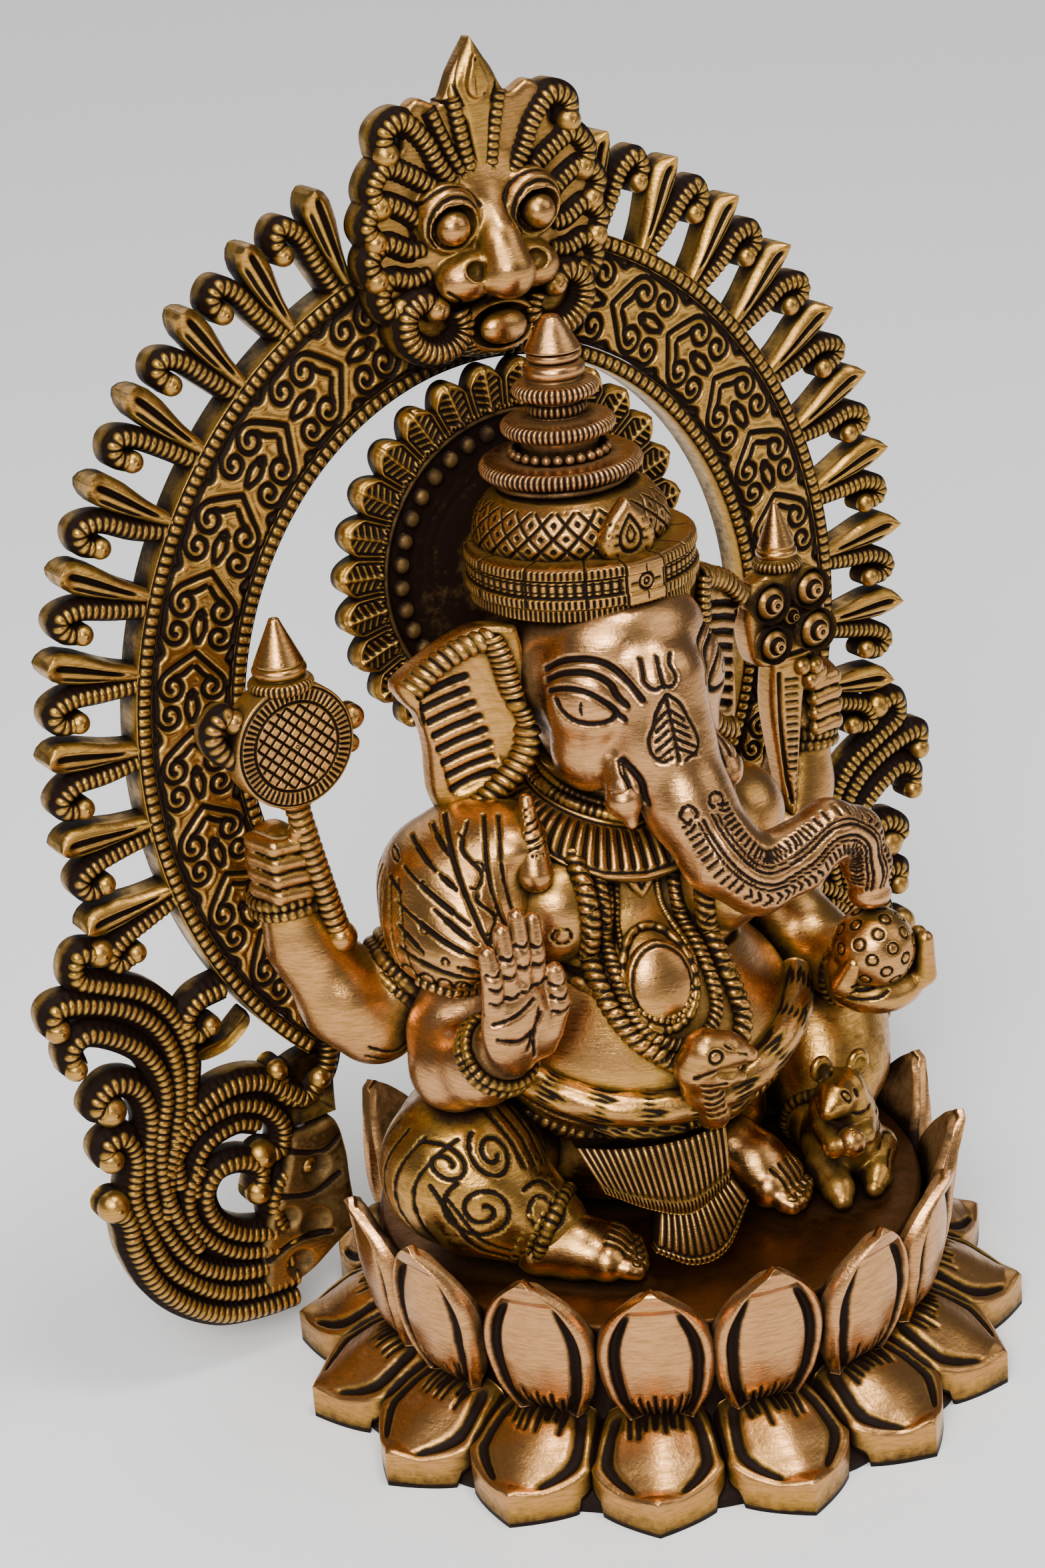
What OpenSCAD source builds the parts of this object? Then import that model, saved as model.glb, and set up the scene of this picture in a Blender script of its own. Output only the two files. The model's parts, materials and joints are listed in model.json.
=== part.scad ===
// Cast brass elephant-headed figure on a lotus base, in front of a pierced arch.
// The figure faces -Y, +Z is up, and the origin is the middle of the underside.

/* [Lotus base] */
// Number of petals in each of the two rows
petal_count = 16; // [12:2:20]
// Radius to the tips of the lower petals
lower_tip_r = 96; // [94:1:104]
// Height of the tips of the upper petals
upper_tip_z = 61; // [56:1:66]
// Radius to the tips of the upper petals
upper_tip_r = 82; // [80:1:86]
// Height of the seat's top face
seat_z = 43; // [41:1:45]
// Radius of the seat plate
seat_r = 70; // [68:1:70]

/* [Arch] */
// Height of the middle of the arch above the floor
arch_z = 169.4; // [160:0.2:176]
// Half the width of the arch, to the middle of its outer beading
arch_half_w = 102.3; // [98:0.1:106]
// Half the height of the arch, to the middle of its outer beading
arch_half_h = 112.8; // [108:0.1:116]
// Width of the arch from one beading to the other
arch_band_w = 26.6; // [22:0.1:30]
// Front of the arch, behind the figure
arch_front_y = 50; // [48:0.5:54]
// Thickness of the arch from front to back
arch_t = 10; // [8:0.5:14]
// Angle from the top of the arch to each of its two ends
arch_end_deg = 143; // [136:1:148]
// Number of leaves down each side of the arch
leaf_count = 10; // [6:1:10]
// Height of the leaves above the outer beading
leaf_h = 25; // [20:0.5:27]

/* [Figure] */
// Middle of the crown, from front to back
crown_y = 17; // [14:0.5:18]
// Height of the crown's tip
crown_tip_z = 268.8; // [266:0.2:276]
// Height of the crown's lower edge
crown_low_z = 203; // [200:0.5:205]
// Radius of the halo
halo_r = 50.5; // [48:0.5:54]
// Height of the middle of the halo
halo_z = 203; // [200:0.5:206]
// Distance from the middle of the figure to each rear hand
rear_hand_x = 73; // [70:0.5:76]

/* [Fasteners] */
// Diameter of the bolt that holds the figure
bolt_d = 8; // [6:1:8]
// Diameter of the screws that hold the arch
lug_screw_d = 5; // [4:0.5:6]

/* [Hidden] */

$fn = 48;
brass = "darkgoldenrod";
pale_brass = "goldenrod";
dark_brass = "saddlebrown";

petal_deg = 360 / petal_count;
arch_mid_y = arch_front_y + arch_t / 2;
rim_w = 4.2;                    // width of each beading
rim_proud = 0.6;                // how far a beading stands proud of the band
inner_half_w = arch_half_w - arch_band_w + 1.6;
inner_half_h = arch_half_h - arch_band_w - 1.7;
leaf_deg = 9.6;                 // from one leaf to the next
first_leaf_deg = 18;            // from the top to the first leaf
lug_deg = 123.75;               // of each lug from the front, where one upper petal is left out
core_r = 66;                    // of the base's upright wall
core_wall = 6;
figure_y = 6;                   // of the upright axis of the torso and head
face_y = -16;                   // of the joint face between the head and the trunk
joint_x = 38.1;                 // of the joint faces between the torso and the arms
rear_y = 10;                    // between the front and rear arms
halo_y = 40;                    // of the halo's front
whisker_x = 20;                 // of the round ends of the mask's whiskers
whisker_z = 267;
whisker_r = 7;
clear = 0.1;                    // gap left round a piece that is let into another
held_y = 22.5;                  // middle of the pieces in the rear hands
lug_hole_z = 33;                // of the screw through each lug
lug_top_z = 62;                 // where the arch's feet stand on the lugs
pin_x = 72;                     // of the pin between a lug and the arch's foot
mask_z = 279;                   // middle of the mask's face
mask_r = 19;
sweet_at = [45, -40, 110];

// ---- shapes shared by several pieces ----

// A round bar from a to b, tapering from ra to rb.
module bar(a, b, ra, rb) {
    d = b - a;
    len = norm(d);
    translate(a)
        rotate([0, acos(d.z / len), atan2(d.y, d.x)])
            cylinder(h = len, r1 = ra, r2 = rb);
}

// A limb through the points in pts, with the radii in radii.
module limb(pts, radii) {
    $fn = 24;
    for (i = [0 : len(pts) - 1]) {
        translate(pts[i]) sphere(r = radii[i]);
        if (i > 0) bar(pts[i - 1], pts[i], radii[i - 1], radii[i]);
    }
}

// A smooth limb through the points in pts, drawn as a mesh: hands, paws and the trunk need it.
module soft_limb(pts, radii, fine = 20) {
    for (i = [1 : len(pts) - 1])
        hull() {
            translate(pts[i - 1]) sphere(r = radii[i - 1], $fn = fine);
            translate(pts[i]) sphere(r = radii[i], $fn = fine);
        }
}

// A flat rope of half-width r through the points in pts, with a round knob at its end.
module rope(pts, r) {
    last = len(pts) - 1;
    ahead = [for (i = [0 : last]) pts[min(i + 1, last)] - pts[max(i - 1, 0)]];
    across = [for (d = ahead) [-d.y, d.x] * r / norm(d)];
    polygon(concat([for (i = [0 : last]) pts[i] + across[i]], [for (i = [last : -1 : 0]) pts[i] - across[i]]));
    translate(pts[last]) circle(r = r * 1.25);
}

// A point of the ellipse with half-axes w and h, deg down from the top on the +X side.
function on_arch(w, h, deg) = [w * sin(deg), arch_z + h * cos(deg)];

// A part of an elliptical ring, upright, from y0 to y1, open at the bottom.
module open_ring(w_out, h_out, w_in, h_in, end_deg, y0, y1) {
    steps = 72;
    outer = [for (i = [0 : steps]) on_arch(w_out, h_out, -end_deg + 2 * end_deg * i / steps)];
    inner = [for (i = [steps : -1 : 0]) on_arch(w_in, h_in, -end_deg + 2 * end_deg * i / steps)];
    translate([0, y1, 0]) rotate([90, 0, 0])
        linear_extrude(y1 - y0) polygon(concat(outer, inner));
}

// Puts its children, drawn at the origin with +Z outward, on the arch at deg.
module at_arch(deg) {
    p = on_arch(arch_half_w + rim_w / 2, arch_half_h + rim_w / 2, deg);
    normal = atan2(sin(deg) / arch_half_w, cos(deg) / arch_half_h);
    translate([p.x, arch_mid_y, p.y]) rotate([0, normal, 0]) children();
}

// One ring piece spun about the Z axis through [0, y].
module ring_of(y, profile) {
    translate([0, y, 0]) rotate_extrude($fn = 72) polygon(profile);
}

// ---- lotus base ----

module lotus_base() color(brass) difference() {
    ring_of(0, [[core_r - core_wall, 12], [76, 4], [79, 0], [85, 0], [85, 3], [70, 12], [core_r, 14],
        [core_r, seat_z - 4], [core_r - core_wall, seat_z - 4]]);
    lug_screw_holes(lug_screw_d / 2 + clear);
}

// Half the width of a lower petal at radius r.
function lower_half_w(r) =
    r < 82 ? r * tan(petal_deg / 2) - 0.15
           : (82 * tan(petal_deg / 2) - 0.15) * (1 - pow((r - 82) / (lower_tip_r - 82), 1.5));

module lower_petals() color(brass) {
    radii = [for (i = [0 : 16]) 60 + (lower_tip_r - 60) * i / 16];
    side = [for (r = radii) [r, lower_half_w(r)]];
    other_side = [for (i = [len(radii) - 1 : -1 : 0]) [radii[i], -lower_half_w(radii[i])]];
    for (i = [0 : petal_count - 1])
        difference() {
            intersection() {
                ring_of(0, [[core_r + clear, 14.2], [70.2, 12.2], [85.2, 3.1], [85.2, 0], [lower_tip_r, 0],
                    [lower_tip_r, 8.6], [91, 9.8], [85, 12], [79, 15.2], [74, 18], [70, 19.4],
                    [core_r + clear, 20]]);
                rotate([0, 0, (i + 0.5) * petal_deg - 90])
                    linear_extrude(50) polygon(concat(side, other_side));
            }
            lug_room();
        }
}

// Upper petals, without the one on each side where the arch is held.
module upper_petals() color(pale_brass) {
    half_w = (upper_tip_r - 4) * tan(petal_deg / 2) - 0.7;
    h = upper_tip_z - seat_z;
    right = [[half_w * 0.62, 18], [half_w * 0.83, 24], [half_w * 0.96, 31], [half_w, 39],
        [half_w * 0.94, seat_z + h * 0.16], [half_w * 0.76, seat_z + h * 0.5],
        [half_w * 0.44, seat_z + h * 0.79], [half_w * 0.15, seat_z + h * 0.95]];
    left = [for (i = [len(right) - 1 : -1 : 0]) [-right[i].x, right[i].y]];
    outline = concat(right, [[0, upper_tip_z]], left);
    for (i = [0 : petal_count - 1]) {
        deg = (i + 0.5) * petal_deg;        // from the front, towards +X
        if (abs(deg - lug_deg) > 1 && abs(deg - 360 + lug_deg) > 1)
            intersection() {
                ring_of(0, [[core_r + clear, 20.2], [70.1, 19.6], [72.5, 18.9], [upper_tip_r - 6, 27],
                    [upper_tip_r - 4, 38], [upper_tip_r - 3.4, seat_z + 4], [upper_tip_r - 2, seat_z + 11],
                    [upper_tip_r, upper_tip_z], [upper_tip_r - 4, upper_tip_z], [seat_r + 5.6, seat_z + 11],
                    [seat_r + 3.4, seat_z + 5], [seat_r + clear, seat_z], [seat_r + clear, 30],
                    [core_r + clear, 26]]);
                rotate([0, 0, deg]) translate([0, -50, 0]) rotate([90, 0, 0])
                    linear_extrude(50) polygon(outline);
            }
    }
}

module seat_plate() color(dark_brass) difference() {
    translate([0, 0, seat_z - 4]) cylinder(h = 4, r = seat_r, $fn = 72);
    translate([0, crown_y, 0]) cylinder(h = 60, r = bolt_d / 2 + clear);
}

// ---- figure's bolt, from below the seat ----

module figure_bolt() color("silver") translate([0, crown_y, seat_z - 16]) cylinder(h = 38, r = bolt_d / 2);

module figure_washer() color("silver") translate([0, crown_y, seat_z - 6]) difference() {
    cylinder(h = 2, r = bolt_d * 1.1);
    translate([0, 0, -1]) cylinder(h = 4, r = bolt_d / 2 + clear);
}

module figure_nut() color("silver") translate([0, crown_y, seat_z - 6 - bolt_d * 0.8]) difference() {
    cylinder(h = bolt_d * 0.8, r = bolt_d * 0.92, $fn = 6);
    translate([0, 0, -1]) cylinder(h = bolt_d * 0.8 + 2, r = bolt_d / 2 + clear);
}

// ---- lugs that hold the arch on the base ----

// Along a lug's direction: +X of the children points outward from the base.
module at_lug(side) rotate([0, 0, side * lug_deg - 90]) children();

module lug_body(side) {
    at_lug(side) translate([core_r + clear, -7, 22]) cube([16, 14, 19]);
    difference() {
        translate([0, arch_front_y + arch_t, 0]) rotate([90, 0, 0])
            linear_extrude(arch_t) polygon([for (p = [[58, 28], [74, 18], [90, 16], [89, 32], [81, 46],
                [78, lug_top_z], [62, lug_top_z], [59, 46]]) [side * p.x, p.y]]);
        ring_of(0, [[50, -1], [lower_tip_r + 1, -1], [lower_tip_r + 1, 8.8], [91, 10], [85, 12.2], [79, 15.4],
            [74, 18.2], [70, 19.6], [50, 20.6]]);
    }
}

// Room for both lugs in the petals that they pass.
module lug_room() for (side = [-1, 1])
    at_lug(side) translate([core_r - 1, -7 - clear, -1]) cube([17.5, 14 + 2 * clear, 60]);

module lug_screw_holes(r) for (side = [-1, 1])
    at_lug(side) translate([core_r - 12, 0, lug_hole_z]) rotate([0, 90, 0]) cylinder(h = 24, r = r);

module lug_pin_holes(r) for (side = [-1, 1])
    translate([side * pin_x, arch_mid_y, lug_top_z - 6]) cylinder(h = 12, r = r);

module arch_lug(side) color(dark_brass) difference() {
    lug_body(side);
    lug_screw_holes(lug_screw_d / 2 + clear);
    lug_pin_holes(2.1);
}

module arch_lug_left() arch_lug(1);
module arch_lug_right() arch_lug(-1);

module lug_screws() color("silver") for (side = [-1, 1])
    at_lug(side) translate([core_r - core_wall, 0, lug_hole_z]) rotate([0, 90, 0]) {
        cylinder(h = 17, r = lug_screw_d / 2);
        translate([0, 0, -3]) cylinder(h = 3, r = lug_screw_d * 0.9);
    }

module lug_pins() color("silver") for (side = [-1, 1])
    translate([side * pin_x, arch_mid_y, lug_top_z - 5.5]) cylinder(h = 11, r = 2);

// ---- arch ----

module arch_foot(side) translate([0, arch_front_y + arch_t, 0]) rotate([90, 0, 0])
    linear_extrude(arch_t) polygon([for (p = [[62, 0.2], [78, 0.2], [80, 10], [75, 20], [64, 28], [60, 14]])
        [side * p.x, lug_top_z + p.y]]);

module arch_band() color(brass) difference() {
    union() {
        open_ring(arch_half_w - rim_w / 2 - clear, arch_half_h - rim_w / 2 - clear,
            inner_half_w + rim_w / 2 + clear, inner_half_h + rim_w / 2 + clear,
            arch_end_deg, arch_front_y, arch_front_y + arch_t);
        for (side = [-1, 1]) arch_foot(side);
    }
    lug_pin_holes(2.1);
}

module arch_outer_beading() color(pale_brass)
    open_ring(arch_half_w + rim_w / 2, arch_half_h + rim_w / 2,
        arch_half_w - rim_w / 2, arch_half_h - rim_w / 2,
        arch_end_deg - 4, arch_front_y - rim_proud, arch_front_y + arch_t);

module arch_inner_beading() color(pale_brass)
    open_ring(inner_half_w + rim_w / 2, inner_half_h + rim_w / 2,
        inner_half_w - rim_w / 2, inner_half_h - rim_w / 2,
        arch_end_deg - 6, arch_front_y - rim_proud, arch_front_y + arch_t);

// One leaf: a pointed blade on a stem.
module flame_leaf() rotate([90, 0, 0]) translate([0, 0, -3.5])
    linear_extrude(7) polygon([[-3, clear], [-2.4, leaf_h * 0.4], [-4.6, leaf_h * 0.62], [-3.4, leaf_h * 0.84],
        [0, leaf_h], [3.4, leaf_h * 0.84], [4.6, leaf_h * 0.62], [2.4, leaf_h * 0.4], [3, clear]]);

module flame_leaves() color(pale_brass) for (side = [-1, 1], i = [0 : leaf_count - 1])
    at_arch(side * (first_leaf_deg + i * leaf_deg)) flame_leaf();

// One curl: a stem that bends over sideways into a knob.
module flame_curl(side) rotate([90, 0, 0]) translate([0, 0, -2.5]) linear_extrude(6)
    rope([[0, clear], [0, leaf_h * 0.5], [side * 0.8, leaf_h * 0.7]], 2.6);

module flame_curls() color(brass) for (side = [-1, 1], i = [0 : leaf_count - 1])
    at_arch(side * (first_leaf_deg + (i + 0.5) * leaf_deg)) flame_curl(side);

// One side scroll: ropes that rise from a spiral at the foot and end in curls.
module side_scroll(side) color(brass) {
    ropes = [
        [6, [93.5, 23], [106, 29], [114, 48], [112, 72], [103, 94], [94, 114]],
        [4.2, [112, 72], [99, 62], [96, 46], [94, 38]],
        [3.8, [103, 94], [117, 106], [123, 120], [125, 127]],
        [3.8, [107, 84], [124, 97], [132, 108], [134, 114]],
        [3.8, [110, 74], [122, 84], [127, 95]],
        [3.6, [112, 62], [122, 77]],
        [3.6, [112, 50], [122.5, 64]],
        [3.6, [110, 40], [121.5, 51]]];
    for (line = ropes)
        translate([0, arch_mid_y + 4.5, 0]) rotate([90, 0, 0]) linear_extrude(9)
            rope([for (i = [1 : len(line) - 1]) [side * line[i].x, line[i].y]], line[0]);
}

module side_scroll_left() side_scroll(1);
module side_scroll_right() side_scroll(-1);

// ---- mask at the top of the arch ----

mask_front_y = arch_front_y - rim_proud - clear;    // the mask is let on to the front of the arch

module mask_face() color(brass) {
    translate([0, mask_front_y, mask_z]) rotate([90, 0, 0]) cylinder(h = 7, r = mask_r);
    for (side = [-1, 1]) {
        translate([side * 11, mask_front_y - 6, mask_z + 8]) sphere(r = 6);
        translate([side * whisker_x, mask_front_y, whisker_z]) rotate([90, 0, 0])
            cylinder(h = 6, r = whisker_r);
    }
    translate([0, mask_front_y - 8, mask_z - 4.5]) sphere(r = 8.5);
    translate([0, mask_front_y - 6, mask_z - 16]) sphere(r = 6.5);
}

module mask_crest() color(pale_brass) {
    top_z = 332;
    side = [[0, top_z], [5, top_z - 8], [8, top_z - 20], [13, top_z - 18], [17, top_z - 22], [18, top_z - 28],
        [24, top_z - 27], [28, top_z - 33], [33, top_z - 38], [35, top_z - 46], [31, top_z - 52],
        [34, top_z - 60], [28, top_z - 68], [19.5, top_z - 66]];
    difference() {
        translate([0, mask_front_y, 0]) rotate([90, 0, 0]) linear_extrude(8)
            polygon(concat(side, [for (i = [len(side) - 1 : -1 : 1]) [-side[i].x, side[i].y]]));
        translate([0, mask_front_y + 1, mask_z]) rotate([90, 0, 0]) cylinder(h = 12, r = mask_r + clear);
        for (s = [-1, 1])
            translate([s * whisker_x, mask_front_y + 1, whisker_z]) rotate([90, 0, 0])
                cylinder(h = 12, r = whisker_r + clear);
    }
}

// ---- halo ----

module halo_disc() color(dark_brass)
    translate([0, halo_y + 6, halo_z]) rotate([90, 0, 0]) cylinder(h = 6, r = halo_r * 0.76, $fn = 72);

module halo_petals() color(brass) {
    n = 28;
    for (i = [0 : n - 1])
        translate([0, halo_y + 6, halo_z]) rotate([0, i * 360 / n, 0]) rotate([90, 0, 0])
            linear_extrude(6.5) polygon([[halo_r * 0.765, -4], [halo_r * 0.93, -5], [halo_r, 0],
                [halo_r * 0.93, 5], [halo_r * 0.765, 4]]);
}

// ---- figure ----

// Everything on one side of an upright joint face at x = side * joint_x.
module beyond(side) difference() {
    children();
    translate([side < 0 ? -joint_x : joint_x - 100, -80, 0]) cube([100, 160, 300]);
}

module torso() color(brass) difference() {
    union() {
        ring_of(figure_y, [[0, seat_z + clear], [28, seat_z + clear], [28, 62], [30, 74], [36, 88], [38, 100],
            [37, 115], [38, 128], [36, 140], [24, 150], [17, 157], [0, 157]]);
        translate([0, figure_y - 14, 100]) sphere(r = 30);
        for (side = [-1, 1]) translate([side * 16, figure_y - 21, 126]) sphere(r = 15);
    }
    translate([0, crown_y, seat_z - 1]) cylinder(h = 24, r = bolt_d / 2 + clear);
}

module shoulder_shawl() color(pale_brass) intersection() {
    translate([-joint_x, 15, 128]) sphere(r = 24);
    translate([-joint_x - 30, -20, 124]) cube([30, 70, 40]);
}

module head() color(brass) intersection() {
    union() {
        translate([0, figure_y, 184]) sphere(r = 27);
        translate([0, figure_y, 157 + clear]) cylinder(h = 14, r = 17);
    }
    translate([-40, face_y, 150]) cube([80, 90, crown_low_z - 150]);
}

module trunk() color(pale_brass) difference() {
    soft_limb([[0, -17, 186], [-0.5, -21, 173], [0.5, -29, 158], [4, -36, 146], [11, -40, 139.5],
        [21, -42, 142], [31, -42.5, 146.5], [39, -42, 143], [43, -41, 134], [44, -40, 125.6]],
        [13, 11.5, 10.5, 10.2, 9.4, 8.2, 7.2, 6.4, 5.6, 5]);
    translate([-40, face_y - clear, 140]) cube([80, 60, 80]);
}

// The left tusk is broken short.
module tusks() color("wheat") {
    bar([-15.2, -18.6, 169], [-15, -25, 154], 4, 2.4);
    bar([15.2, -18.6, 169], [15.4, -22, 161], 4, 3.4);
}

// An ear: a fan that hangs from the side of the head.
module ear(side) color(brass) translate([side * 27.2, 9, 180]) rotate([90, 0, 0])
    linear_extrude(6) polygon([for (p = [[0, 20], [12, 22], [26, 14], [25, 2], [19, -12], [12, -21], [6, -18],
        [0, -6]]) [side * p.x, p.y]]);

module ear_left() ear(1);
module ear_right() ear(-1);

// ---- crown ----

module crown_band() color(pale_brass) ring_of(figure_y + 5, [
    [0, crown_low_z + clear], [27, crown_low_z + clear],
    [28, crown_low_z + 3], [26.5, crown_low_z + 4], [26.5, crown_low_z + 12], [28, crown_low_z + 13],
    [0, crown_low_z + 13]]);

module crown_dome() color(brass) ring_of(crown_y - 2, [[0, crown_low_z + 13.1], [23, crown_low_z + 13.1],
    [22, crown_low_z + 20], [18, crown_low_z + 25], [0, crown_low_z + 25]]);

module crown_tiers() color(pale_brass) ring_of(crown_y, [[0, crown_low_z + 25.1], [16, crown_low_z + 25.1],
    [20, crown_low_z + 28], [20, crown_low_z + 31], [10, crown_low_z + 34], [10, crown_low_z + 38],
    [14, crown_low_z + 40], [14, crown_low_z + 43], [7, crown_low_z + 45], [10.5, crown_low_z + 47],
    [10.5, crown_low_z + 50], [5, crown_low_z + 52], [7.5, crown_low_z + 53], [7.5, crown_low_z + 55],
    [0, crown_low_z + 55]]);

module crown_finial() color(brass) ring_of(crown_y, [[0, crown_low_z + 55.1], [5, crown_low_z + 55.1],
    [6, crown_low_z + 57.5], [0.8, crown_tip_z], [0, crown_tip_z]]);

// ---- arms: each starts at a joint face on the torso, the rear ones behind rear_y ----

module rear_right_arm() color(pale_brass) beyond(-1) intersection() {
    union() {
        soft_limb([[-46, 20, 111], [-66, 22, 98], [-77, 29, 124], [-79, 32, 139], [-77, 32, 151]],
            [12.8, 12, 9, 7.5, 8.2]);
        for (k = [0 : 3])
            soft_limb([[-82, 28, 147 + k * 4], [-77, 23, 148 + k * 4]], [2.8, 2.3]);
        soft_limb([[-72, 30, 148], [-68, 26, 153]], [3, 2.3]);
    }
    translate([-120, rear_y + clear, 60]) cube([240, 60, 120]);
}

module rear_left_arm() mirror([1, 0, 0]) rear_right_arm();

module front_right_arm() color(pale_brass) beyond(-1) intersection() {
    union() {
        limb([[-46, 2, 106], [-54, -7, 97.5], [-53, -22, 108], [-52, -27, 124]], [12, 10.5, 8, 9]);
        for (k = [-1.5 : 1 : 1.5])
            bar([-51.5 + k * 4.4, -28, 126], [-51.5 + k * 5.2, -29, 146 - abs(k) * 2], 2.7, 2);
        bar([-45, -29, 116], [-39.5, -31, 128], 3, 2.2);
    }
    translate([-120, -80, 60]) cube([240, 80 + rear_y, 120]);
}

// The hand below the sweet, with its fingers up round it.
module front_left_arm() color(pale_brass) beyond(1) difference() {
    union() {
        soft_limb([[44, 2, 106], [46, -8, 97.5], [50, -26, 97], [52, -34, 95]], [12, 10.5, 8, 8]);
        for (k = [0 : 3])
            soft_limb([[56, -30 - k * 3.4, 97], [58.6, -33 - k * 3.6, 105]], [2.8, 2.2]);
        soft_limb([[46, -42, 94], [43, -48, 99]], [3, 2.4]);
    }
    translate([-120, rear_y, 60]) cube([240, 80, 120]);
    sweet_ball();
}

// A bangle round the wrist at p, turned to face along d.
module bangle(p, d) translate(p) rotate([0, acos(d.z / norm(d)), atan2(d.y, d.x)])
    translate([0, 0, -2.5]) difference() {
        cylinder(h = 5, r = 10.4);
        translate([0, 0, -1]) cylinder(h = 7, r = 8.7);
    }

module bangles() color(brass) {
    bangle([-78.4, 31.1, 135], [-2, 3, 15]);
    bangle([78.4, 31.1, 135], [2, 3, 15]);
    bangle([-53.1, -20.5, 107], [1, -15, 10.5]);
    bangle([49.8, -25, 97.1], [4, -18, -0.5]);
}

// ---- what the hands hold ----

module goad() color(brass) {
    x = -rear_hand_x - 5;
    z = 180.5;
    bar([x + 8, held_y, 128], [x, held_y, z - 13], 3, 3.6);
    translate([x, held_y + 4.5, z]) rotate([90, 0, 0]) cylinder(h = 9, r = 15.5);
    bar([x, held_y, z + 13], [x, held_y, z + 31], 7, 1.2);
    for (side = [-1, 1]) bar([x + side * 14, held_y, z], [x + side * 20, held_y, z + 2], 3.4, 2);
}

module lotus_sceptre() color(brass) {
    x = rear_hand_x - 7;
    z = 176;
    bar([x, held_y, 122], [x, held_y, z - 10], 2, 5.4);
    translate([x, held_y + 4.5, z]) rotate([90, 0, 0]) cylinder(h = 8, r = 12.6);
    for (p = [[-6.6, 6, 4.9], [6.2, 7, 4.9], [-6, -5.6, 4.6], [7, -4.4, 5.2], [0, 0.8, 3.4]])
        translate([x + p.x, held_y - 3, z + p.y]) sphere(r = p.z);
    bar([x, held_y, z + 11], [x, held_y, z + 30], 5.5, 1.2);
}

module sweet_ball() translate(sweet_at) sphere(r = 10.4);

module sweet() color(pale_brass) sweet_ball();

// ---- legs ----

module above_seat() difference() {
    children();
    translate([-100, -100, seat_z - 40]) cube([200, 200, 40 + clear]);
}

// A folded leg, from the hip round the knee to the ankle.
module left_leg() color(brass) above_seat()
    soft_limb([[45, 9, 64], [48, 6, 65], [51, 2, 65], [52, -1, 64], [50.5, -4, 62], [48, -7, 59.5],
        [45, -10, 57], [41.5, -13, 54.5], [38, -15, 52]], [16, 18, 19.6, 19.6, 17.6, 15, 12.4, 10, 8.4], 22);

module right_leg() mirror([1, 0, 0]) left_leg();

// A bare foot from heel to ball, with five toes fanned at its front.
module foot(heel, ball) above_seat() {
    ahead = (ball - heel) / norm(ball - heel);
    across = [-ahead.y, ahead.x, 0];
    soft_limb([heel, (heel + ball) / 2, ball], [6.2, 5.6, 5], 18);
    for (k = [-2 : 2])
        soft_limb([ball + across * k * 1.8, ball + across * k * 2.2 + ahead * (6 - abs(k - 0.6)) - [0, 0, 1.6]],
            [2.4, 1.8], 14);
    soft_limb([heel, heel - ahead * 3 + [0, 0, 1]], [6.2, 5], 18);
}

module right_foot() color(pale_brass) foot([-38, -29, 50], [-29, -39, 48.4]);

module left_foot() color(pale_brass) foot([27, -25, 50], [19, -33, 48.4]);

// The folded cloth that hangs between the knees.
module cloth_pleats() color(brass) translate([-8, -38, seat_z + clear]) rotate([90, 0, 0])
    linear_extrude(7) polygon([[-12, 0], [-3, 6], [9, 1], [12, 14], [8, 38], [-8, 38], [-13, 14]]);

// ---- worn pieces ----

module snake_belt() color(brass) {
    translate([0, figure_y - 4, 84]) rotate([0, 0, 205]) rotate_extrude(angle = 130, $fn = 72)
        translate([40.4, 0]) circle(r = 4.2);
    translate([-6, -44, 96]) sphere(r = 6);
}

module collar() color(brass) ring_of(figure_y, [[17.2, 157.2], [24.2, 150.3], [36, 140.5], [38, 142],
    [27, 153], [19.5, 160]]);

module garland() color(pale_brass) translate([0, figure_y - 42, 126]) rotate([75, 0, 0]) rotate([0, 0, 180])
    rotate_extrude(angle = 180, $fn = 72) translate([20, 0]) circle(r = 3.2);

module medallion() color(brass)
    translate([-1, figure_y - 41.5, 117]) rotate([74, 0, 0]) cylinder(h = 3.5, r = 8);

// ---- mouse ----

module mouse() color(brass) above_seat() {
    soft_limb([[43, -31, 52], [41, -33, 60], [39, -35, 66]], [8.4, 7, 5.6]);
    soft_limb([[38, -37, 66], [33.6, -41, 64]], [4.2, 2]);
    for (side = [-1, 1]) {
        soft_limb([[40 + side * 3.6, -34, 69], [41 + side * 4.4, -33, 72]], [2, 2.8]);
        soft_limb([[40 + side * 5, -37, 60], [35 + side * 2.4, -41.6, 59]], [2.4, 1.9]);
        soft_limb([[40 + side * 5, -36, 46], [36 + side * 4, -41, 45.6]], [3.2, 2.4]);
    }
    soft_limb([[48, -26, 48], [53, -22, 47]], [2.4, 1.6]);
}

module mouse_sweet() color(pale_brass) translate([33, -41, 56.5]) sphere(r = 3);

lotus_base();
lower_petals();
upper_petals();
seat_plate();
figure_bolt();
figure_washer();
figure_nut();
arch_lug_left();
arch_lug_right();
lug_screws();
lug_pins();
arch_band();
arch_outer_beading();
arch_inner_beading();
flame_leaves();
flame_curls();
side_scroll_left();
side_scroll_right();
mask_face();
mask_crest();
halo_disc();
halo_petals();
torso();
shoulder_shawl();
head();
trunk();
tusks();
ear_left();
ear_right();
crown_band();
crown_dome();
crown_tiers();
crown_finial();
rear_right_arm();
rear_left_arm();
front_right_arm();
front_left_arm();
bangles();
goad();
lotus_sceptre();
sweet();
right_leg();
left_leg();
right_foot();
left_foot();
cloth_pleats();
snake_belt();
collar();
garland();
medallion();
mouse();
mouse_sweet();
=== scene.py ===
"""Looks of the cast brass figure: each CAD node is replaced by a sculpted and engraved mesh.

Lengths in this file are millimetres in the CAD frame (-Y is the front, +Z up) until a mesh is made.
"""
import json
from math import cos, pi, radians, sin, sqrt, tan

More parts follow.
